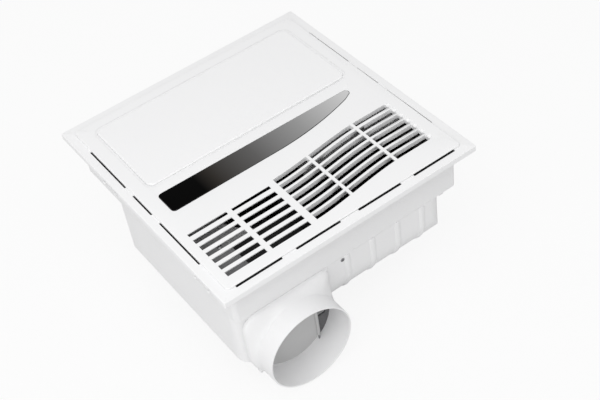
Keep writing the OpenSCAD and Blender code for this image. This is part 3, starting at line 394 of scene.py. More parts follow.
@dataclass(frozen=True)
class CircuitBoard(Finish):
    """Solder mask with a pattern of copper tracks showing through."""

    mask: Colour
    track: Colour
    track_scale: float = 260.0
    row_shade: float = 0.85
    gloss_scale: float = 150.0
    roughness: tuple[float, float] = (0.3, 0.45)

    def fill(self, g: Graph) -> None:
        """Adds the tracks and the gloss.

        Args:
            g: The material to fill.
        """
        tracks = g.nodes.new("ShaderNodeTexBrick")
        tracks.inputs["Scale"].default_value = self.track_scale
        tracks.inputs["Color1"].default_value = (*self.mask, 1)
        tracks.inputs["Color2"].default_value = (*shade(self.mask, self.row_shade), 1)
        tracks.inputs["Mortar"].default_value = (*self.track, 1)
        g.link(g.place, "Object", tracks, "Vector")
        g.link(tracks, "Color", g.shader, "Base Color")
        g.gloss(self.gloss_scale, 2.0, *self.roughness)


@dataclass(frozen=True)
class WoundCopper(Finish):
    """Enamelled wire laid turn on turn."""

    colour: Colour
    turns_per_metre: float = 900.0
    wire_relief: float = 0.15 * MM
    gap_painted_shade: float = 0.5
    gap_edge: float = 0.6

    def fill(self, g: Graph) -> None:
        """Adds the turns of wire, with painted shade in the grooves between them.

        Args:
            g: The material to fill.
        """
        wave = g.nodes.new("ShaderNodeTexWave")
        wave.wave_type = "RINGS"
        wave.rings_direction = "Z"
        wave.inputs["Scale"].default_value = self.turns_per_metre
        wave.inputs["Distortion"].default_value = 0.6
        g.link(g.place, "Object", wave, "Vector")
        # painted shade: the grooves between the turns are darker
        stops = [(0.0, shade(self.colour, self.gap_painted_shade)), (self.gap_edge, self.colour)]
        g.link(g.ramp(wave, "Fac", stops), "Color", g.shader, "Base Color")
        g.bump(wave, self.wire_relief, strength=0.6)
        g.set(Metallic=0.8, Roughness=0.3)


class Finishes:
    """All finishes of the object, made once and found by name."""

    def __init__(self) -> None:
        """Builds every finish."""
        recipes: list[Finish] = [
            MouldedPlastic(
                "white_gloss_plastic", (0.87, 0.87, 0.875), roughness=0.34, grain=0.1, cloud=0.004,
                gloss_range=0.03,
            ),
            MouldedPlastic("white_plastic", (0.84, 0.84, 0.845), roughness=0.45, cloud=0.006),
            MouldedPlastic(
                "flush_white_plastic", (0.84, 0.84, 0.845), roughness=0.45, cloud=0.006, edge=0.0
            ),
            MouldedPlastic(
                "diffuser_plastic", (0.88, 0.88, 0.885), roughness=0.36, grain=0.01, cloud=0.002,
                translucency=0.2, gloss_range=0.008,
            ),
            MouldedPlastic("grey_plastic", (0.52, 0.52, 0.52), roughness=0.5),
            MouldedPlastic("dark_plastic", (0.012, 0.012, 0.013), roughness=0.6),
            MouldedPlastic("ivory_plastic", (0.62, 0.58, 0.45), roughness=0.4),
            MouldedPlastic("ceramic_board", (0.022, 0.02, 0.019), roughness=0.75, grain=0.8, cloud=0.06),
            DrawnMetal("zinc_steel", (0.3, 0.3, 0.31)),
            DrawnMetal("spring_steel", (0.16, 0.16, 0.17)),
            DrawnMetal(
                "lamination_steel", (0.25, 0.25, 0.26), roughness=0.45, stretch=(1, 1, 60), line_scale=300.0
            ),
            # painted shade: the heater's fins are near black, far darker than aluminium, so that the
            # grille's slots read black inside
            DrawnMetal("heater_aluminium", (0.014, 0.014, 0.014), roughness=0.6, stretch=(1, 12, 1)),
            PaintedSteel("white_sheet_steel", (0.78, 0.78, 0.78)),
            PaintedSteel("grey_painted_steel", (0.21, 0.21, 0.215)),
            # near black: partly the heater duct's own dark paint and partly painted shade, so that the
            # grille's slots read black inside
            PaintedSteel("black_sheet_steel", (0.008, 0.008, 0.008), roughness=0.65),
            SoftPolymer("black_rubber", (0.02, 0.02, 0.02)),
            SoftPolymer("black_foam", (0.03, 0.03, 0.03), pore_scale=900.0, roughness=0.95),
            # painted shade: dark grey for the flap's seat, where the spigot's inside lies in shadow
            SoftPolymer("seat_painted_shade", (0.15, 0.15, 0.155), pore_scale=900.0, roughness=0.95),
            CircuitBoard("green_board", (0.02, 0.12, 0.05), (0.1, 0.28, 0.12)),
            CircuitBoard("white_board", (0.8, 0.8, 0.78), (0.7, 0.7, 0.66)),
            WoundCopper("copper_wire", (0.6, 0.25, 0.1)),
        ]
        strip_low, strip_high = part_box("accent_strip")
        recipes.append(
            FadedTrim(
                "smoked_trim", strip_low.x, strip_high.x,
                (
                    (0.0, (0.0005, 0.0005, 0.0005)),
                    (0.17, (0.001, 0.001, 0.001)),
                    (0.24, (0.026, 0.023, 0.02)),
                    (0.45, (0.106, 0.104, 0.103)),
                    (0.7, (0.285, 0.285, 0.285)),
                    (1.0, (0.6, 0.6, 0.6)),
                ),
            )
        )
        self.made = {recipe.name: recipe.build() for recipe in recipes}

    def dress(self, piece: Object, finish: str) -> None:
        """Gives all of a piece the finish that is named as the record's material slot."""
        piece.data.materials.clear()
        piece.data.materials.append(self.made[finish])


# ---------------- workshop


def only(piece: Object) -> None:
    """Makes one object the only selected and active one.

    Args:
        piece: The object.
    """
    bpy.ops.object.select_all(action="DESELECT")
    piece.select_set(True)
    bpy.context.view_layer.objects.active = piece


@contextmanager
def edit(piece: Object) -> Iterator[None]:
    """Opens a piece in edit mode with nothing selected, and closes it again.

    Args:
        piece: The mesh object.
    """
    only(piece)
    bpy.ops.object.mode_set(mode="EDIT")
    bpy.ops.mesh.select_all(action="DESELECT")
    yield
    bpy.ops.object.mode_set(mode="OBJECT")


def apply_modifier(piece: Object, kind: str, **settings: object) -> None:
    """Adds a modifier with its settings and applies it.

    Args:
        piece: The mesh object.
        kind: The modifier's type.
        settings: Its properties.
    """
    only(piece)
    modifier = piece.modifiers.new(kind.lower(), kind)
    for name, value in settings.items():
        setattr(modifier, name, value)
    bpy.ops.object.modifier_apply(modifier=modifier.name)


def smooth(piece: Object, degrees: float = 30.0) -> None:
    """Shades a piece smooth, with edges kept sharper than an angle."""
    only(piece)
    bpy.ops.object.shade_smooth_by_angle(angle=math.radians(degrees))


def weigh_normals(piece: Object, degrees: float = 35.0) -> None:
    """Shades a piece smooth and lets its large faces hold their own direction."""
    smooth(piece, degrees)
    apply_modifier(piece, "WEIGHTED_NORMAL", mode="FACE_AREA_WITH_ANGLE", weight=100, keep_sharp=True)


def settle(piece: Object) -> None:
    """Moves a new primitive's place into its mesh, so that it sits at the origin."""
    only(piece)
    bpy.ops.object.transform_apply(location=True, rotation=True, scale=True)


def join(pieces: Sequence[Object], name: str) -> Object:
    """Joins pieces into the first one.

    Args:
        pieces: The pieces, the first of which stays.
        name: The joined piece's name.

    Returns:
        The joined piece.
    """
    only(pieces[0])
    for piece in pieces[1:]:
        piece.select_set(True)
    bpy.ops.object.join()
    pieces[0].name = name
    return pieces[0]


def cut(piece: Object, tool: Object, meeting: Meeting = Meeting.CUT) -> None:
    """Cuts, merges or meets a piece with a tool, which is used up.

    Args:
        piece: The piece that stays.
        tool: The other solid.
        meeting: What is left of the two.
    """
    apply_modifier(piece, "BOOLEAN", object=tool, operation=meeting.value, solver="EXACT")
    bpy.data.objects.remove(tool)


def add_rod(start: Point, end: Point, radius: float, sides: int = 96) -> Object:
    """Adds a solid rod between two points.

    Args:
        start: Middle of one end.
        end: Middle of the other end.
        radius: The rod's radius.
        sides: Sides round it.

    Returns:
        The rod, at the origin.
    """
    bpy.ops.object.select_all(action="DESELECT")
    along = Vector(end) - Vector(start)
    bpy.ops.mesh.primitive_cylinder_add(
        vertices=sides, radius=radius, depth=along.length, location=(Vector(start) + Vector(end)) / 2,
        rotation=along.to_track_quat("Z", "Y").to_euler(),
    )
    rod = bpy.context.object
    settle(rod)
    return rod


def add_block(low: Point, high: Point) -> Object:
    """Adds a block.

    Args:
        low: Its lowest corner.
        high: Its highest corner.

    Returns:
        The block, at the origin.
    """
    bpy.ops.object.select_all(action="DESELECT")
    middle = (Vector(low) + Vector(high)) / 2
    bpy.ops.mesh.primitive_cube_add(size=1.0, location=middle, scale=Vector(high) - Vector(low))
    block = bpy.context.object
    settle(block)
    return block


def add_tile(low: Point, high: Point, corner: float, name: str, facets: int = 8) -> Object:
    """Adds a flat tile with rounded upright edges.

    Args:
        low: Its lowest corner.
        high: Its highest corner.
        corner: Radius of the upright edges.
        name: Its name.
        facets: Facets round each corner.

    Returns:
        The tile, at the origin.
    """
    bpy.ops.object.select_all(action="DESELECT")
    middle = (Vector(low) + Vector(high)) / 2
    bpy.ops.mesh.primitive_plane_add(size=1.0, location=(middle.x, middle.y, low[2]))
    tile = bpy.context.object
    tile.name = name
    tile.scale = (high[0] - low[0], high[1] - low[1], 1.0)
    settle(tile)
    with edit(tile):
        bpy.ops.mesh.select_all(action="SELECT")
        bpy.ops.mesh.bevel(offset=corner, segments=facets, affect="VERTICES")
        bpy.ops.mesh.select_all(action="SELECT")
        bpy.ops.mesh.extrude_region_move(TRANSFORM_OT_translate={"value": (0, 0, high[2] - low[2])})
        bpy.ops.mesh.select_all(action="SELECT")
        bpy.ops.mesh.normals_make_consistent(inside=False)
    return tile


def weigh_edges(piece: Object, weight: Callable[[Vector, Vector, float], float]) -> None:
    """Gives each sharp edge a bevel weight.

    Args:
        piece: The mesh object.
        weight: Takes an edge's two ends and its angle in degrees, and returns the weight.
    """
    mesh = bmesh.new()
    mesh.from_mesh(piece.data)
    layer = mesh.edges.layers.float.new("bevel_weight_edge")
    for edge in mesh.edges:
        if len(edge.link_faces) == 2:
            ends = [vertex.co for vertex in edge.verts]
            edge[layer] = weight(ends[0], ends[1], math.degrees(edge.calc_face_angle(0.0)))
    mesh.to_mesh(piece.data)
    mesh.free()


def soften_top(tile: Object, top: float, width: float, segments: int) -> None:
    """Rounds a tile's upper edge.

    Args:
        tile: A tile as made by add_tile.
        top: Height of its upper face.
        width: Width of the rounding.
        segments: Facets across it.
    """
    weigh_edges(tile, lambda a, b, angle: float(angle > STEEP and min(a.z, b.z) > top - NEAR))
    apply_modifier(tile, "BEVEL", width=width, segments=segments, limit_method="WEIGHT")


def blacken(
    piece: Object, finish: Material, chosen: Callable[[MeshPolygon], bool]
) -> None:
    """Gives some of a piece's faces a second, darker finish.

    Args:
        piece: The mesh object, dressed already.
        finish: The second finish.
        chosen: Tells whether a face takes it.
    """
    piece.data.materials.append(finish)
    for face in piece.data.polygons:
        if chosen(face):
            face.material_index = len(piece.data.materials) - 1


def record_slots() -> dict[str, str]:
    """Returns each CAD node's material slot as the record states it."""
    return {part["node"]: part["material_slot"] for part in frame["record"]["subparts"]}


def body_of_node() -> dict[str, str]:
    """Returns the body that each CAD node rides on."""
    groups = frame["record"]["behaviour"]["bodies"]
    return {node: body for body, members in groups.items() for node in members}


# ---------------- sub-assemblies


@dataclass
class Piece:
    """A visible piece that stands for one CAD node, or adds to it where stands_in is false."""

    node: str
    stands_in: ClassVar[bool] = True

    def shape(self) -> Object:
        """Returns the piece's bare mesh object."""
        raise NotImplementedError

    def build(self, finishes: Finishes) -> Object:
        """Shapes the piece, dresses it and puts it in its node's place.

        Args:
            finishes: The finishes to choose from.

        Returns:
            The new piece.
        """
        piece = self.shape()
        slot = record_slots()[self.node]
        finishes.dress(piece, slot)
        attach(piece, body_of_node()[self.node])
        if self.stands_in:
            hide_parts(self.node)
        self.touch_up(piece, finishes)
        return piece

    def touch_up(self, piece: Object, finishes: Finishes) -> None:
        """Changes the finish of the dressed piece, or of some of its faces, where it needs that."""


@dataclass
class Moulding(Piece):
    """A moulding or pressing: the CAD shape with its edges broken as a mould leaves them."""

    edge: float = 0.35 * MM
    segments: int = 2
    crease_angle: float = 30.0

    def shape(self) -> Object:
        """Copies the node, merges it and rounds its sharp edges.

        Returns:
            The moulding.
        """
        piece = self.copy_of_node()
        weigh_edges(piece, self.weight)
        apply_modifier(
            piece, "BEVEL", width=self.edge, segments=self.segments, limit_method="WEIGHT",
            use_clamp_overlap=False, miter_outer="MITER_ARC",
        )
        weigh_normals(piece)
        return piece

    def copy_of_node(self) -> Object:
        """Copies the CAD node, frees the copy of its body and merges its points.

        Returns:
            The copy.
        """
        source = frame["nodes"][self.node]
        only(source)
        bpy.ops.object.duplicate()
        piece = bpy.context.view_layer.objects.active
        piece.name = f"{self.node}_moulding"
        piece.parent = None
        for key in list(piece.keys()):
            del piece[key]
        with edit(piece):
            bpy.ops.mesh.select_all(action="SELECT")
            bpy.ops.mesh.remove_doubles(threshold=SAME_POINT)
        return piece

    def weight(self, start: Vector, end: Vector, angle: float) -> float:
        """Returns how much of the edge's rounding one edge takes, from 0 to 1."""
        return 1.0 if angle > self.crease_angle else 0.0


@dataclass
class FacePanel(Moulding):
    """The face panel: its rim and field get moulded edges, its end slots run up the field's step."""

    rim_top: float = 7.0 * MM
    field_top: float = 9.5 * MM
    half_width: float = 165.0 * MM
    half_depth: float = 170.0 * MM
    rim: float = 11.5 * MM
    rim_corner: float = 1.5 * MM
    field_corner: float = 4.0 * MM
    rim_edge: float = 0.7 * MM
    field_edge: float = 1.3 * MM
    bumps_top: float = 3.4 * MM
    slot_places: tuple[float, ...] = (-115.0 * MM, -40.3 * MM, 40.3 * MM, 115.0 * MM)
    slot_length: float = 57.0 * MM
    step_cut: float = 2.6 * MM
    step_drop: float = 3.0 * MM
    step_reach: float = 0.5 * MM
    margin: float = 5.0 * MM
    below: float = 30.0 * MM
    slack: float = 0.02 * MM

    def shape(self) -> Object:
        """Trims a copy of the CAD panel to a body with rounded edges and opens its step.

        Returns:
            The panel.
        """
        panel = self.copy_of_node()
        cut(panel, self.rounded_body(), Meeting.COMMON)
        for opening in self.step_openings():
            cut(panel, opening)
        weigh_normals(panel)
        return panel

    def rounded_body(self) -> Object:
        """Builds a solid with the panel's outline, its rim and field rounded on top.

        Returns:
            The solid.
        """
        reach = Vector((self.half_width, self.half_depth, 0))
        room = Vector((self.margin, self.margin, 0))
        low = -reach - room - Vector((0, 0, self.below))
        body = add_block(low, reach + room + Vector((0, 0, self.bumps_top)))
        grown = reach + Vector((self.slack, self.slack, 0))
        rim_top = self.rim_top + self.slack
        rim = add_tile(-grown, grown + Vector((0, 0, rim_top)), self.rim_corner, "rim_body")
        soften_top(rim, rim_top, self.rim_edge, segments=4)
        cut(body, rim, Meeting.MERGE)
        inner = grown - Vector((self.rim, self.rim, 0))
        field_top = self.field_top + self.slack
        field = add_tile(-inner, inner + Vector((0, 0, field_top)), self.field_corner, "field_body")
        soften_top(field, field_top, self.field_edge, segments=5)
        cut(body, field, Meeting.MERGE)
        return body

    def step_openings(self) -> Iterator[Object]:
        """Makes the cutters that open the field's step over the slots at front and back.

        Yields:
            One cutter after the other.
        """
        step = self.half_depth - self.rim
        for side in (-1, 1):
            for place in self.slot_places:
                near, far = sorted((side * (step - self.step_cut), side * (step + self.step_reach)))
                low = (place - self.slot_length / 2, near, self.rim_top - self.step_drop)
                high = (place + self.slot_length / 2, far, self.field_top - self.field_edge - NEAR)
                yield add_block(low, high)


@dataclass
class AccentStrip(Moulding):
    """The smoked strip, whose broken edge is left black."""

    edge: float = 0.5 * MM
    level: float = 0.97

    def touch_up(self, piece: Object, finishes: Finishes) -> None:
        """Blackens every face of the strip but its top."""
        blacken(piece, finishes.made["dark_plastic"], lambda face: face.normal.z < self.level)


@dataclass
class Housing(Moulding):
    """The sheet housing, with painted shade on top of the flange that the panel hides, in the black foam
    finish.
    """

    edge: float = 0.3 * MM
    crease_angle: float = 60.0
    flange_low: float = -4.0 * MM
    level: float = 0.9

    def touch_up(self, piece: Object, finishes: Finishes) -> None:
        """Paints shade on the flange's top, so that the slots in the panel's rim read black."""
        # painted shade: the flange's top takes the black foam finish so that the rim's slots look dark
        # inside
        blacken(piece, finishes.made["black_foam"], self.in_painted_flange_shade)

    def in_painted_flange_shade(self, face: MeshPolygon) -> bool:
        """Tells whether a face lies on top of the flange."""
        return face.normal.z > self.level and face.center.z > self.flange_low


@dataclass
class CasingCorner(Piece):
    """The rounded wall of the blower casing's front right corner, which the CAD node leaves open."""

    stands_in: ClassVar[bool] = False
    front: float = -153.3 * MM
    right: float = 129.6 * MM
    base: float = -127.4 * MM
    top: float = -53.1 * MM
    wall: float = 2.0 * MM
    corner: float = 17.0 * MM
    front_round: float = 44.5 * MM
    end_round: float = 36.0 * MM
    reach: float = 50.0 * MM
    facets: int = 24
    grip: float = 1.0 * MM
    proud: float = 0.03 * MM

    def touch_up(self, piece: Object, finishes: Finishes) -> None:
        """Takes the casing's finish without its soft edges, which would draw the corner's outline."""
        piece.data.materials[0] = finishes.made["flush_white_plastic"]

    def shape(self) -> Object:
        """Builds the upright quarter of wall between the casing's front and its right end.

        Returns:
            The wall.
        """
        inset = self.wall - self.grip
        wall = self.rounded_block(inset, self.front_round, lambda p: p.y < 0 and p.z < 0)
        end = self.rounded_block(inset, self.end_round, lambda p: p.x > 0 and p.z < 0)
        outside = self.rounded_block(-self.proud, self.corner, lambda p: p.x > 0 and p.y < 0)
        inside = self.rounded_block(self.wall, self.corner, lambda p: p.x > 0 and p.y < 0)
        cut(wall, end, Meeting.COMMON)
        cut(wall, outside, Meeting.COMMON)
        cut(wall, inside)
        wall.name = "blower_casing_corner"
        smooth(wall)
        return wall

    def rounded_block(
        self, inset: float, radius: float, chosen: Callable[[Vector], bool]
    ) -> Object:
        """Adds a block at the casing's front right corner with one edge rounded.

        Args:
            inset: How far the block lies inside the casing's outside.
            radius: Radius of the rounding on the casing's outside.
            chosen: Tells whether a point, from the block's middle, is on the rounded edge.

        Returns:
            The block.
        """
        low = Vector((self.right - self.reach, self.front + inset, self.base + inset))
        high = Vector((self.right - inset, self.front + self.reach, self.top))
        block = add_block(low, high)
        middle = (low + high) / 2
        weigh_edges(block, lambda a, b, angle: float(chosen(a - middle) and chosen(b - middle)))
        apply_modifier(block, "BEVEL", width=radius - inset, segments=self.facets, limit_method="WEIGHT")
        return block


@dataclass
class LightDiffuser(Piece):
    """The milky window: a raised tile with a rounded edge over a thin hidden flange."""

    width: float = 269.6 * MM
    depth: float = 122.6 * MM
    middle_y: float = 80.5 * MM
    corner: float = 8.7 * MM
    ledge: float = 7.3 * MM
    top: float = 10.5 * MM
    flange: float = 2.3 * MM
    flange_thick: float = 1.6 * MM
    lap: float = 0.01 * MM
    round_edge: float = 1.45 * MM

    def shape(self) -> Object:
        """Builds the tile by extruding a rounded plane, rounds its edge and adds the flange.

        Returns:
            The window.
        """
        lens = self.tile(0.0, self.ledge - self.lap, self.top, "light_diffuser_lens")
        soften_top(lens, self.top, self.round_edge, segments=6)
        flange = self.tile(self.flange, self.ledge - self.flange_thick, self.ledge, "light_diffuser_flange")
        piece = join([lens, flange], "light_diffuser_lens")
        weigh_normals(piece)
        return piece

    def tile(self, brim: float, low: float, high: float, name: str) -> Object:
        """Adds a tile of the window's outline between two heights.

        Args:
            brim: How far it reaches past the window all round.
            low: Its lower height.
            high: Its upper height.
            name: Its name.

        Returns:
            The tile.
        """
        x = self.width / 2 + brim
        y = self.depth / 2 + brim
        return add_tile((-x, self.middle_y - y, low), (x, self.middle_y + y, high), self.corner, name)


@dataclass
class OutletDuct(Piece):
    """The round spigot, the flare behind it and the hood plate that closes the casing's front."""

    axis_x: float = -88.3 * MM
    axis_z: float = -107.7 * MM
    mouth: float = -191.8 * MM
    back: float = -153.4 * MM
    plate: float = 2.0 * MM
    flare: float = 13.5 * MM
    flare_steps: int = 14
    shoulder_start: float = 1.5
    shoulder_end: float = 2.2
    radius: float = 52.4 * MM
    wall: float = 1.8 * MM
    left: float = 57.1 * MM
    right: float = 53.7 * MM
    top: float = 54.9 * MM
    left_corner: float = 18.0 * MM
    right_corner: float = 5.0 * MM
    block_low: Point = (-127.4 * MM, -155.4 * MM, -126.0 * MM)
    block_high: Point = (-33.8 * MM, -153.4 * MM, -53.3 * MM)
    lip: float = 0.55 * MM
    seat: float = 44.9 * MM
    opening_low: tuple[float, float] = (-135.8 * MM, -117.0 * MM)
    opening_high: tuple[float, float] = (-42.6 * MM, -66.0 * MM)
    wedge_from: float = 32.4 * MM
    wedge_rim: float = 0.5 * MM
    hinge_line: float = 30.4 * MM
    sides: int = 180
    small_sides: int = 24
    peg_angles: tuple[float, ...] = (214.0, 226.0)
    peg_radius: float = 1.8 * MM
    peg_length: float = 4.0 * MM
    peg_offset: float = 2.2 * MM
    peg_edge: float = 0.5 * MM
    vane_hole: float = 1.5 * MM
    vane_angle: float = 22.0
    vane_depth: float = 27.0 * MM
    overshoot: float = 4.0 * MM

    def shape(self) -> Object:
        """Builds the tube and its hood, the block, the seat plate and the pegs, and joins them.

        Returns:
            The duct.
        """
        tube = self.tube()
        cut(tube, self.vane_bore())
        block = add_block(self.block_low, self.block_high)
        middle = self.radius - self.wall / 2
        cut(block, self.disc(middle, self.back - 2 * self.plate, self.back + self.plate))
        pieces = [tube, block, self.seat_plate()]
        pieces += [self.peg(math.radians(angle)) for angle in self.peg_angles]
        piece = join(pieces, "outlet_duct_moulding")
        weigh_normals(piece, degrees=40.0)
        return piece

    def touch_up(self, piece: Object, finishes: Finishes) -> None:
        """Paints shade on the seat beside the flap's straight edge, in a dark grey finish."""
        # painted shade: the seat beside the open wedge is dark grey where the spigot's inside lies in
        # shadow
        blacken(piece, finishes.made["seat_painted_shade"], self.in_painted_seat_shade)

    def in_painted_seat_shade(self, face: MeshPolygon) -> bool:
        """Tells whether a face lies on the seat, beside the flap's straight edge.

        Args:
            face: The face.

        Returns:
            True where it does.
        """
        x, y, z = face.center
        bore = self.radius - self.wall - NEAR / 2
        at_plate = y > self.back - self.plate - NEAR
        beside_flap = x > self.axis_x + self.hinge_line
        return at_plate and beside_flap and math.hypot(x - self.axis_x, z - self.axis_z) < bore

    def vane_bore(self) -> Object:
        """Adds the rod that bores the small hole in the spigot's right wall.

        Returns:
            The rod.
        """
        angle = math.radians(self.vane_angle)
        ends = []
        for out in (self.radius - 2 * self.wall, self.radius + self.wall):
            place = (out * math.cos(angle), self.mouth + self.vane_depth, out * math.sin(angle))
            ends.append(Vector((self.axis_x, 0, self.axis_z)) + Vector(place))
        return add_rod(ends[0], ends[1], self.vane_hole, self.small_sides)

    def tube(self) -> Object:
        """Extrudes a ring from the mouth to the hood's back and in again, as one closed wall.

        Returns:
            The tube.
        """
        inner = self.radius - self.wall
        front = self.back - self.plate
        chamfer = 0.3 * self.lip
        stations = [
            (self.mouth + self.lip, self.radius), (front - self.flare, self.radius),
            *[(front - self.flare * (1 - t), self.radius) for t in self.flare_shares()],
            (self.back, self.radius), (self.back, inner), (self.mouth + self.lip, inner),
            (self.mouth + chamfer, inner + chamfer), (self.mouth, inner + self.lip),
            (self.mouth, self.radius - self.lip), (self.mouth + chamfer, self.radius - chamfer),
        ]
        bpy.ops.object.select_all(action="DESELECT")
        bpy.ops.mesh.primitive_circle_add(
            vertices=self.sides, radius=self.radius, fill_type="NOTHING",
            location=(self.axis_x, stations[0][0], self.axis_z), rotation=(math.pi / 2, 0, 0),
        )
        tube = bpy.context.object
        settle(tube)
        with edit(tube):
            bpy.ops.mesh.select_all(action="SELECT")
            for (y, radius), (next_y, next_radius) in zip(stations, stations[1:]):
                bpy.ops.mesh.extrude_region_move(TRANSFORM_OT_translate={"value": (0, next_y - y, 0)})
                share = next_radius / radius
                bpy.ops.transform.resize(
                    value=(share, 1, share), center_override=(self.axis_x, next_y, self.axis_z)
                )
            bpy.ops.mesh.select_all(action="DESELECT")
            bpy.ops.mesh.select_non_manifold()
            bpy.ops.mesh.bridge_edge_loops()
            bpy.ops.mesh.select_all(action="SELECT")
            bpy.ops.mesh.normals_make_consistent(inside=False)
        self.swell(tube)
        return tube

    def flare_shares(self) -> list[float]:
        """Returns how far along the flare its rings lie, closer together towards the hood."""
        return [math.sin(math.pi / 2 * i / self.flare_steps) for i in range(1, self.flare_steps + 1)]

    def swell(self, tube: Object) -> None:
        """Draws the flare's rings out to the hood's outline along a soft shoulder.

        Args:
            tube: The tube, as wide at its flare as at its mouth.
        """
        start = self.back - self.plate - self.flare
        for vertex in tube.data.vertices:
            along = min(max((vertex.co.y - start) / self.flare, 0.0), 1.0)
            x = vertex.co.x - self.axis_x
            z = vertex.co.z - self.axis_z
            if along > 0 and math.hypot(x, z) > self.radius - self.wall / 2:
                reach = self.reach(math.atan2(z, x))
                rise = 1 - (1 - along**self.shoulder_start) ** self.shoulder_end
                grown = self.radius + (reach - self.radius) * rise
                share = grown / self.radius
                vertex.co.x = self.axis_x + x * share
                vertex.co.z = self.axis_z + z * share

    def reach(self, angle: float) -> float:
        """Measures how far the hood's outline is from the axis.

        Args:
            angle: Direction in radians, from the right towards the top.

        Returns:
            The distance.
        """
        c = math.cos(angle)
        s = math.sin(angle)
        shift = (self.right - self.left) / 2
        ball = (self.left + self.right) / 2
        below = shift * c + math.sqrt(ball**2 - (shift * s) ** 2)
        if s < 0:
            return below
        side, corner = (self.right, self.right_corner) if c > 0 else (self.left, self.left_corner)
        box = min(side / max(abs(c), TINY), self.top / max(s, TINY))
        centre = Vector((side - corner, self.top - corner))
        ray = Vector((abs(c), s))
        if ray.x * box > centre.x and ray.y * box > centre.y:
            along = ray.dot(centre)
            box = along + math.sqrt(max(corner**2 - (centre.length_squared - along**2), 0.0))
        return box

    def seat_plate(self) -> Object:
        """Cuts the flap's seat and the open wedge beside it out of a disc.

        Returns:
            The plate.
        """
        front = self.back - self.plate
        disc = self.disc(self.radius - self.wall / 2, front, self.back)
        near, far = front - self.overshoot, self.back + self.overshoot
        hole = self.disc(self.seat, near, far)
        wedge = self.disc(self.radius - self.wall - self.wedge_rim, near, far)
        beside = (self.axis_x + self.wedge_from, near - MM, self.axis_z)
        beyond = (self.axis_x + self.radius, far + MM, self.axis_z + self.radius)
        cut(wedge, add_block(beside, beyond), Meeting.COMMON)
        cut(hole, wedge, Meeting.MERGE)
        low, high = self.opening_low, self.opening_high
        cut(hole, add_block((low[0], near + MM, low[1]), (high[0], far - MM, high[1])), Meeting.COMMON)
        cut(disc, hole)
        with edit(disc):
            bpy.ops.mesh.select_all(action="SELECT")
            bpy.ops.mesh.bisect(plane_co=(self.axis_x + self.hinge_line, 0, 0), plane_no=(1, 0, 0))
        return disc

    def disc(self, radius: float, y0: float, y1: float) -> Object:
        """Returns a solid disc round the spigot's axis."""
        return add_rod((self.axis_x, y0, self.axis_z), (self.axis_x, y1, self.axis_z), radius, self.sides)

    def peg(self, angle: float) -> Object:
        """Adds one of the small pegs under the hood's left end.

        Args:
            angle: Its direction from the spigot's axis, in radians.

        Returns:
            The peg.
        """
        out = (self.left + self.right) / 2 + self.peg_offset
        x = self.axis_x + out * math.cos(angle)
        z = self.axis_z + out * math.sin(angle)
        front = self.back - self.plate - self.peg_length
        peg = add_rod((x, front, z), (x, self.back, z), self.peg_radius, self.small_sides)
        apply_modifier(peg, "BEVEL", width=self.peg_edge, segments=3, limit_method="ANGLE")
        return peg


@dataclass
class DraughtFlap(Piece):
    """The flap: a thin disc cut straight along its hinge, with a knuckle on that edge."""

    axis_x: float = -88.3 * MM
    axis_z: float = -107.7 * MM
    radius: float = 46.9 * MM
    front: float = -157.3 * MM
    thick: float = 1.6 * MM
    pin_offset: float = 30.36 * MM
    pin_y: float = -157.8 * MM
    knuckle: float = 2.0 * MM
    pin_bore: float = 1.25 * MM
    lap: float = 0.15 * MM
    relief: float = 0.6 * MM
    knuckle_low: float = -33.88 * MM
    knuckle_high: float = 20.88 * MM
    edge: float = 0.3 * MM
    sides: int = 160
    knuckle_sides: int = 32

    def shape(self) -> Object:
        """Cuts a disc along the hinge, rounds its edges and joins the bored knuckle to it.

        Returns:
            The flap.
        """
        back = self.front + self.thick
        middle = (self.axis_x, self.front, self.axis_z)
        disc = add_rod(middle, (self.axis_x, back, self.axis_z), self.radius, self.sides)
        hinge_x = self.axis_x + self.pin_offset
        with edit(disc):
            bpy.ops.mesh.select_all(action="SELECT")
            straight = (hinge_x - self.pin_bore - self.lap, 0, 0)
            bpy.ops.mesh.bisect(plane_co=straight, plane_no=(1, 0, 0), clear_outer=True, use_fill=True)
        for low, high in ((self.knuckle_high, self.radius), (-self.radius, self.knuckle_low)):
            notch = add_block(
                (hinge_x - self.knuckle - self.relief, self.front - MM, self.axis_z + low),
                (hinge_x + MM, back + MM, self.axis_z + high),
            )
            cut(disc, notch)
        apply_modifier(disc, "BEVEL", width=self.edge, segments=2, limit_method="ANGLE")
        knuckle = self.rod_at_hinge(self.knuckle_low, self.knuckle_high, self.knuckle)
        cut(knuckle, self.rod_at_hinge(-self.radius, self.radius, self.pin_bore))
        piece = join([disc, knuckle], "draught_flap_disc")
        weigh_normals(piece)
        return piece

    def rod_at_hinge(self, low: float, high: float, radius: float) -> Object:
        """Adds an upright rod on the hinge line.

        Args:
            low: Height of its lower end from the flap's middle.
            high: Height of its upper end.
            radius: Its radius.

        Returns:
            The rod.
        """
        x = self.axis_x + self.pin_offset
        bottom = (x, self.pin_y, self.axis_z + low)
        return add_rod(bottom, (x, self.pin_y, self.axis_z + high), radius, self.knuckle_sides)


@dataclass(frozen=True)
class Lamp:
    """A square area lamp: its place, the point it faces, its side in metres and its power."""

    name: str
    place: Point
    target: Point
    size: float
    watts: float

    def hang(self) -> None:
        """Adds the lamp to the scene."""
        bpy.ops.object.light_add(type="AREA", location=self.place)
        lamp = bpy.context.object
        lamp.name = self.name
        lamp.data.size = self.size
        lamp.data.energy = self.watts
        way = Vector(self.target) - Vector(self.place)
        lamp.rotation_euler = way.to_track_quat("-Z", "Y").to_euler()


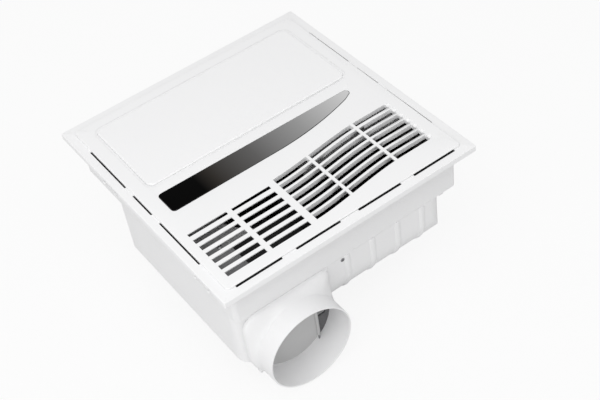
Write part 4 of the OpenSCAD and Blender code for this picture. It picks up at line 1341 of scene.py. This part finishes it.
@dataclass
class Studio:
    """Pale floor, soft light and the camera of the photograph."""

    lamps: tuple[Lamp, ...] = (
        Lamp("key_lamp", (-0.55, -0.6, 1.5), (0, 0, 0), size=1.6, watts=14.0),
        Lamp("fill_lamp", (-1.4, -0.9, 0.4), (0, 0, -0.05), size=1.2, watts=4.2),
    )
    world_light: float = 0.66
    paper: Colour = (0.76, 0.76, 0.76)
    paper_white: float = 0.88
    floor_gap: float = 1.0 * MM
    floor_size: float = 6.0
    sensor: float = 36.0
    clip_start: float = 0.01
    lens: float = 71.73
    camera_place: Point = (-0.4716, -0.8764, 0.8937)
    camera_right: Point = (0.79846, -0.59159, -0.11171)
    camera_up: Point = (0.48580, 0.52350, 0.69996)
    camera_back: Point = (-0.35561, -0.61317, 0.70539)

    def build(self) -> None:
        """Makes the camera, the floor and the world, and hangs the lamps."""
        self.build_camera()
        self.build_floor()
        for lamp in self.lamps:
            lamp.hang()
        self.build_world()
        bpy.context.scene.view_settings.view_transform = "Standard"

    def build_camera(self) -> None:
        """Places the camera as the photograph's was, rolled a little."""
        bpy.ops.object.camera_add(location=self.camera_place)
        camera = bpy.context.object
        axes = Matrix((self.camera_right, self.camera_up, self.camera_back)).transposed()
        camera.matrix_world = Matrix.Translation(self.camera_place) @ axes.to_4x4()
        camera.data.lens = self.lens
        camera.data.sensor_width = self.sensor
        camera.data.clip_start = self.clip_start
        bpy.context.scene.camera = camera

    def build_floor(self) -> None:
        """Makes a white floor that still takes a faint shadow."""
        bpy.ops.object.select_all(action="DESELECT")
        lowest = CAD_BOX[0].z - self.floor_gap
        bpy.ops.mesh.primitive_plane_add(size=self.floor_size, location=(0, 0, lowest))
        floor = bpy.context.object
        floor.name = "floor"
        g = Graph("floor_paper")
        g.shader.inputs["Base Color"].default_value = (*self.paper, 1)
        g.set(Roughness=0.9)
        glow = g.nodes.new("ShaderNodeEmission")
        glow.inputs["Strength"].default_value = 1.0
        seen = g.nodes.new("ShaderNodeLightPath")
        share = g.nodes.new("ShaderNodeMath")
        share.operation = "MULTIPLY"
        share.inputs[1].default_value = self.paper_white
        g.link(seen, "Is Camera Ray", share, "Value")
        mix = g.nodes.new("ShaderNodeMixShader")
        g.link(share, "Value", mix, "Fac")
        g.links.new(g.shader.outputs["BSDF"], mix.inputs[1])
        g.links.new(glow.outputs["Emission"], mix.inputs[2])
        g.link(mix, "Shader", g.output, "Surface")
        floor.data.materials.append(g.material)

    def build_world(self) -> None:
        """Lights the scene evenly and shows white behind it."""
        world = bpy.data.worlds.new("studio_world")
        world.use_nodes = True
        bpy.context.scene.world = world
        nodes = world.node_tree.nodes
        links = world.node_tree.links
        nodes.clear()
        output = nodes.new("ShaderNodeOutputWorld")
        seen = nodes.new("ShaderNodeLightPath")
        mix = nodes.new("ShaderNodeMixShader")
        links.new(seen.outputs["Is Camera Ray"], mix.inputs["Fac"])
        for socket, strength in ((1, self.world_light), (2, 1.0)):
            light = nodes.new("ShaderNodeBackground")
            light.inputs["Color"].default_value = (1, 1, 1, 1)
            light.inputs["Strength"].default_value = strength
            links.new(light.outputs["Background"], mix.inputs[socket])
        links.new(mix.outputs["Shader"], output.inputs["Surface"])


def dress_inner_nodes(finishes: Finishes, shown: set[str]) -> None:
    """Gives every CAD node that stays its own finish.

    Args:
        finishes: The finishes to choose from.
        shown: Nodes that a new piece stands for already.
    """
    for node, slot in record_slots().items():
        if node not in shown:
            finishes.dress(frame["nodes"][node], slot)


def main() -> None:
    """Builds the studio and every sub-assembly in order."""
    logging.basicConfig(level=logging.INFO, format="%(message)s")
    Studio().build()
    finishes = Finishes()
    pieces = [
        FacePanel("face_panel"),
        LightDiffuser("light_diffuser"),
        AccentStrip("accent_strip"),
        Housing("main_housing"),
        CasingCorner("blower_casing"),
        OutletDuct("outlet_duct"),
        DraughtFlap("draught_flap"),
        Moulding("motor_dome", edge=0.4 * MM),
        Moulding("cable_grommet", edge=0.3 * MM),
    ]
    for maker in pieces:
        piece = maker.build(finishes)
        LOG.info("%s: %d faces", piece.name, len(piece.data.polygons))
    dress_inner_nodes(finishes, {maker.node for maker in pieces if maker.stands_in})


if __name__ == "__main__":
    main()
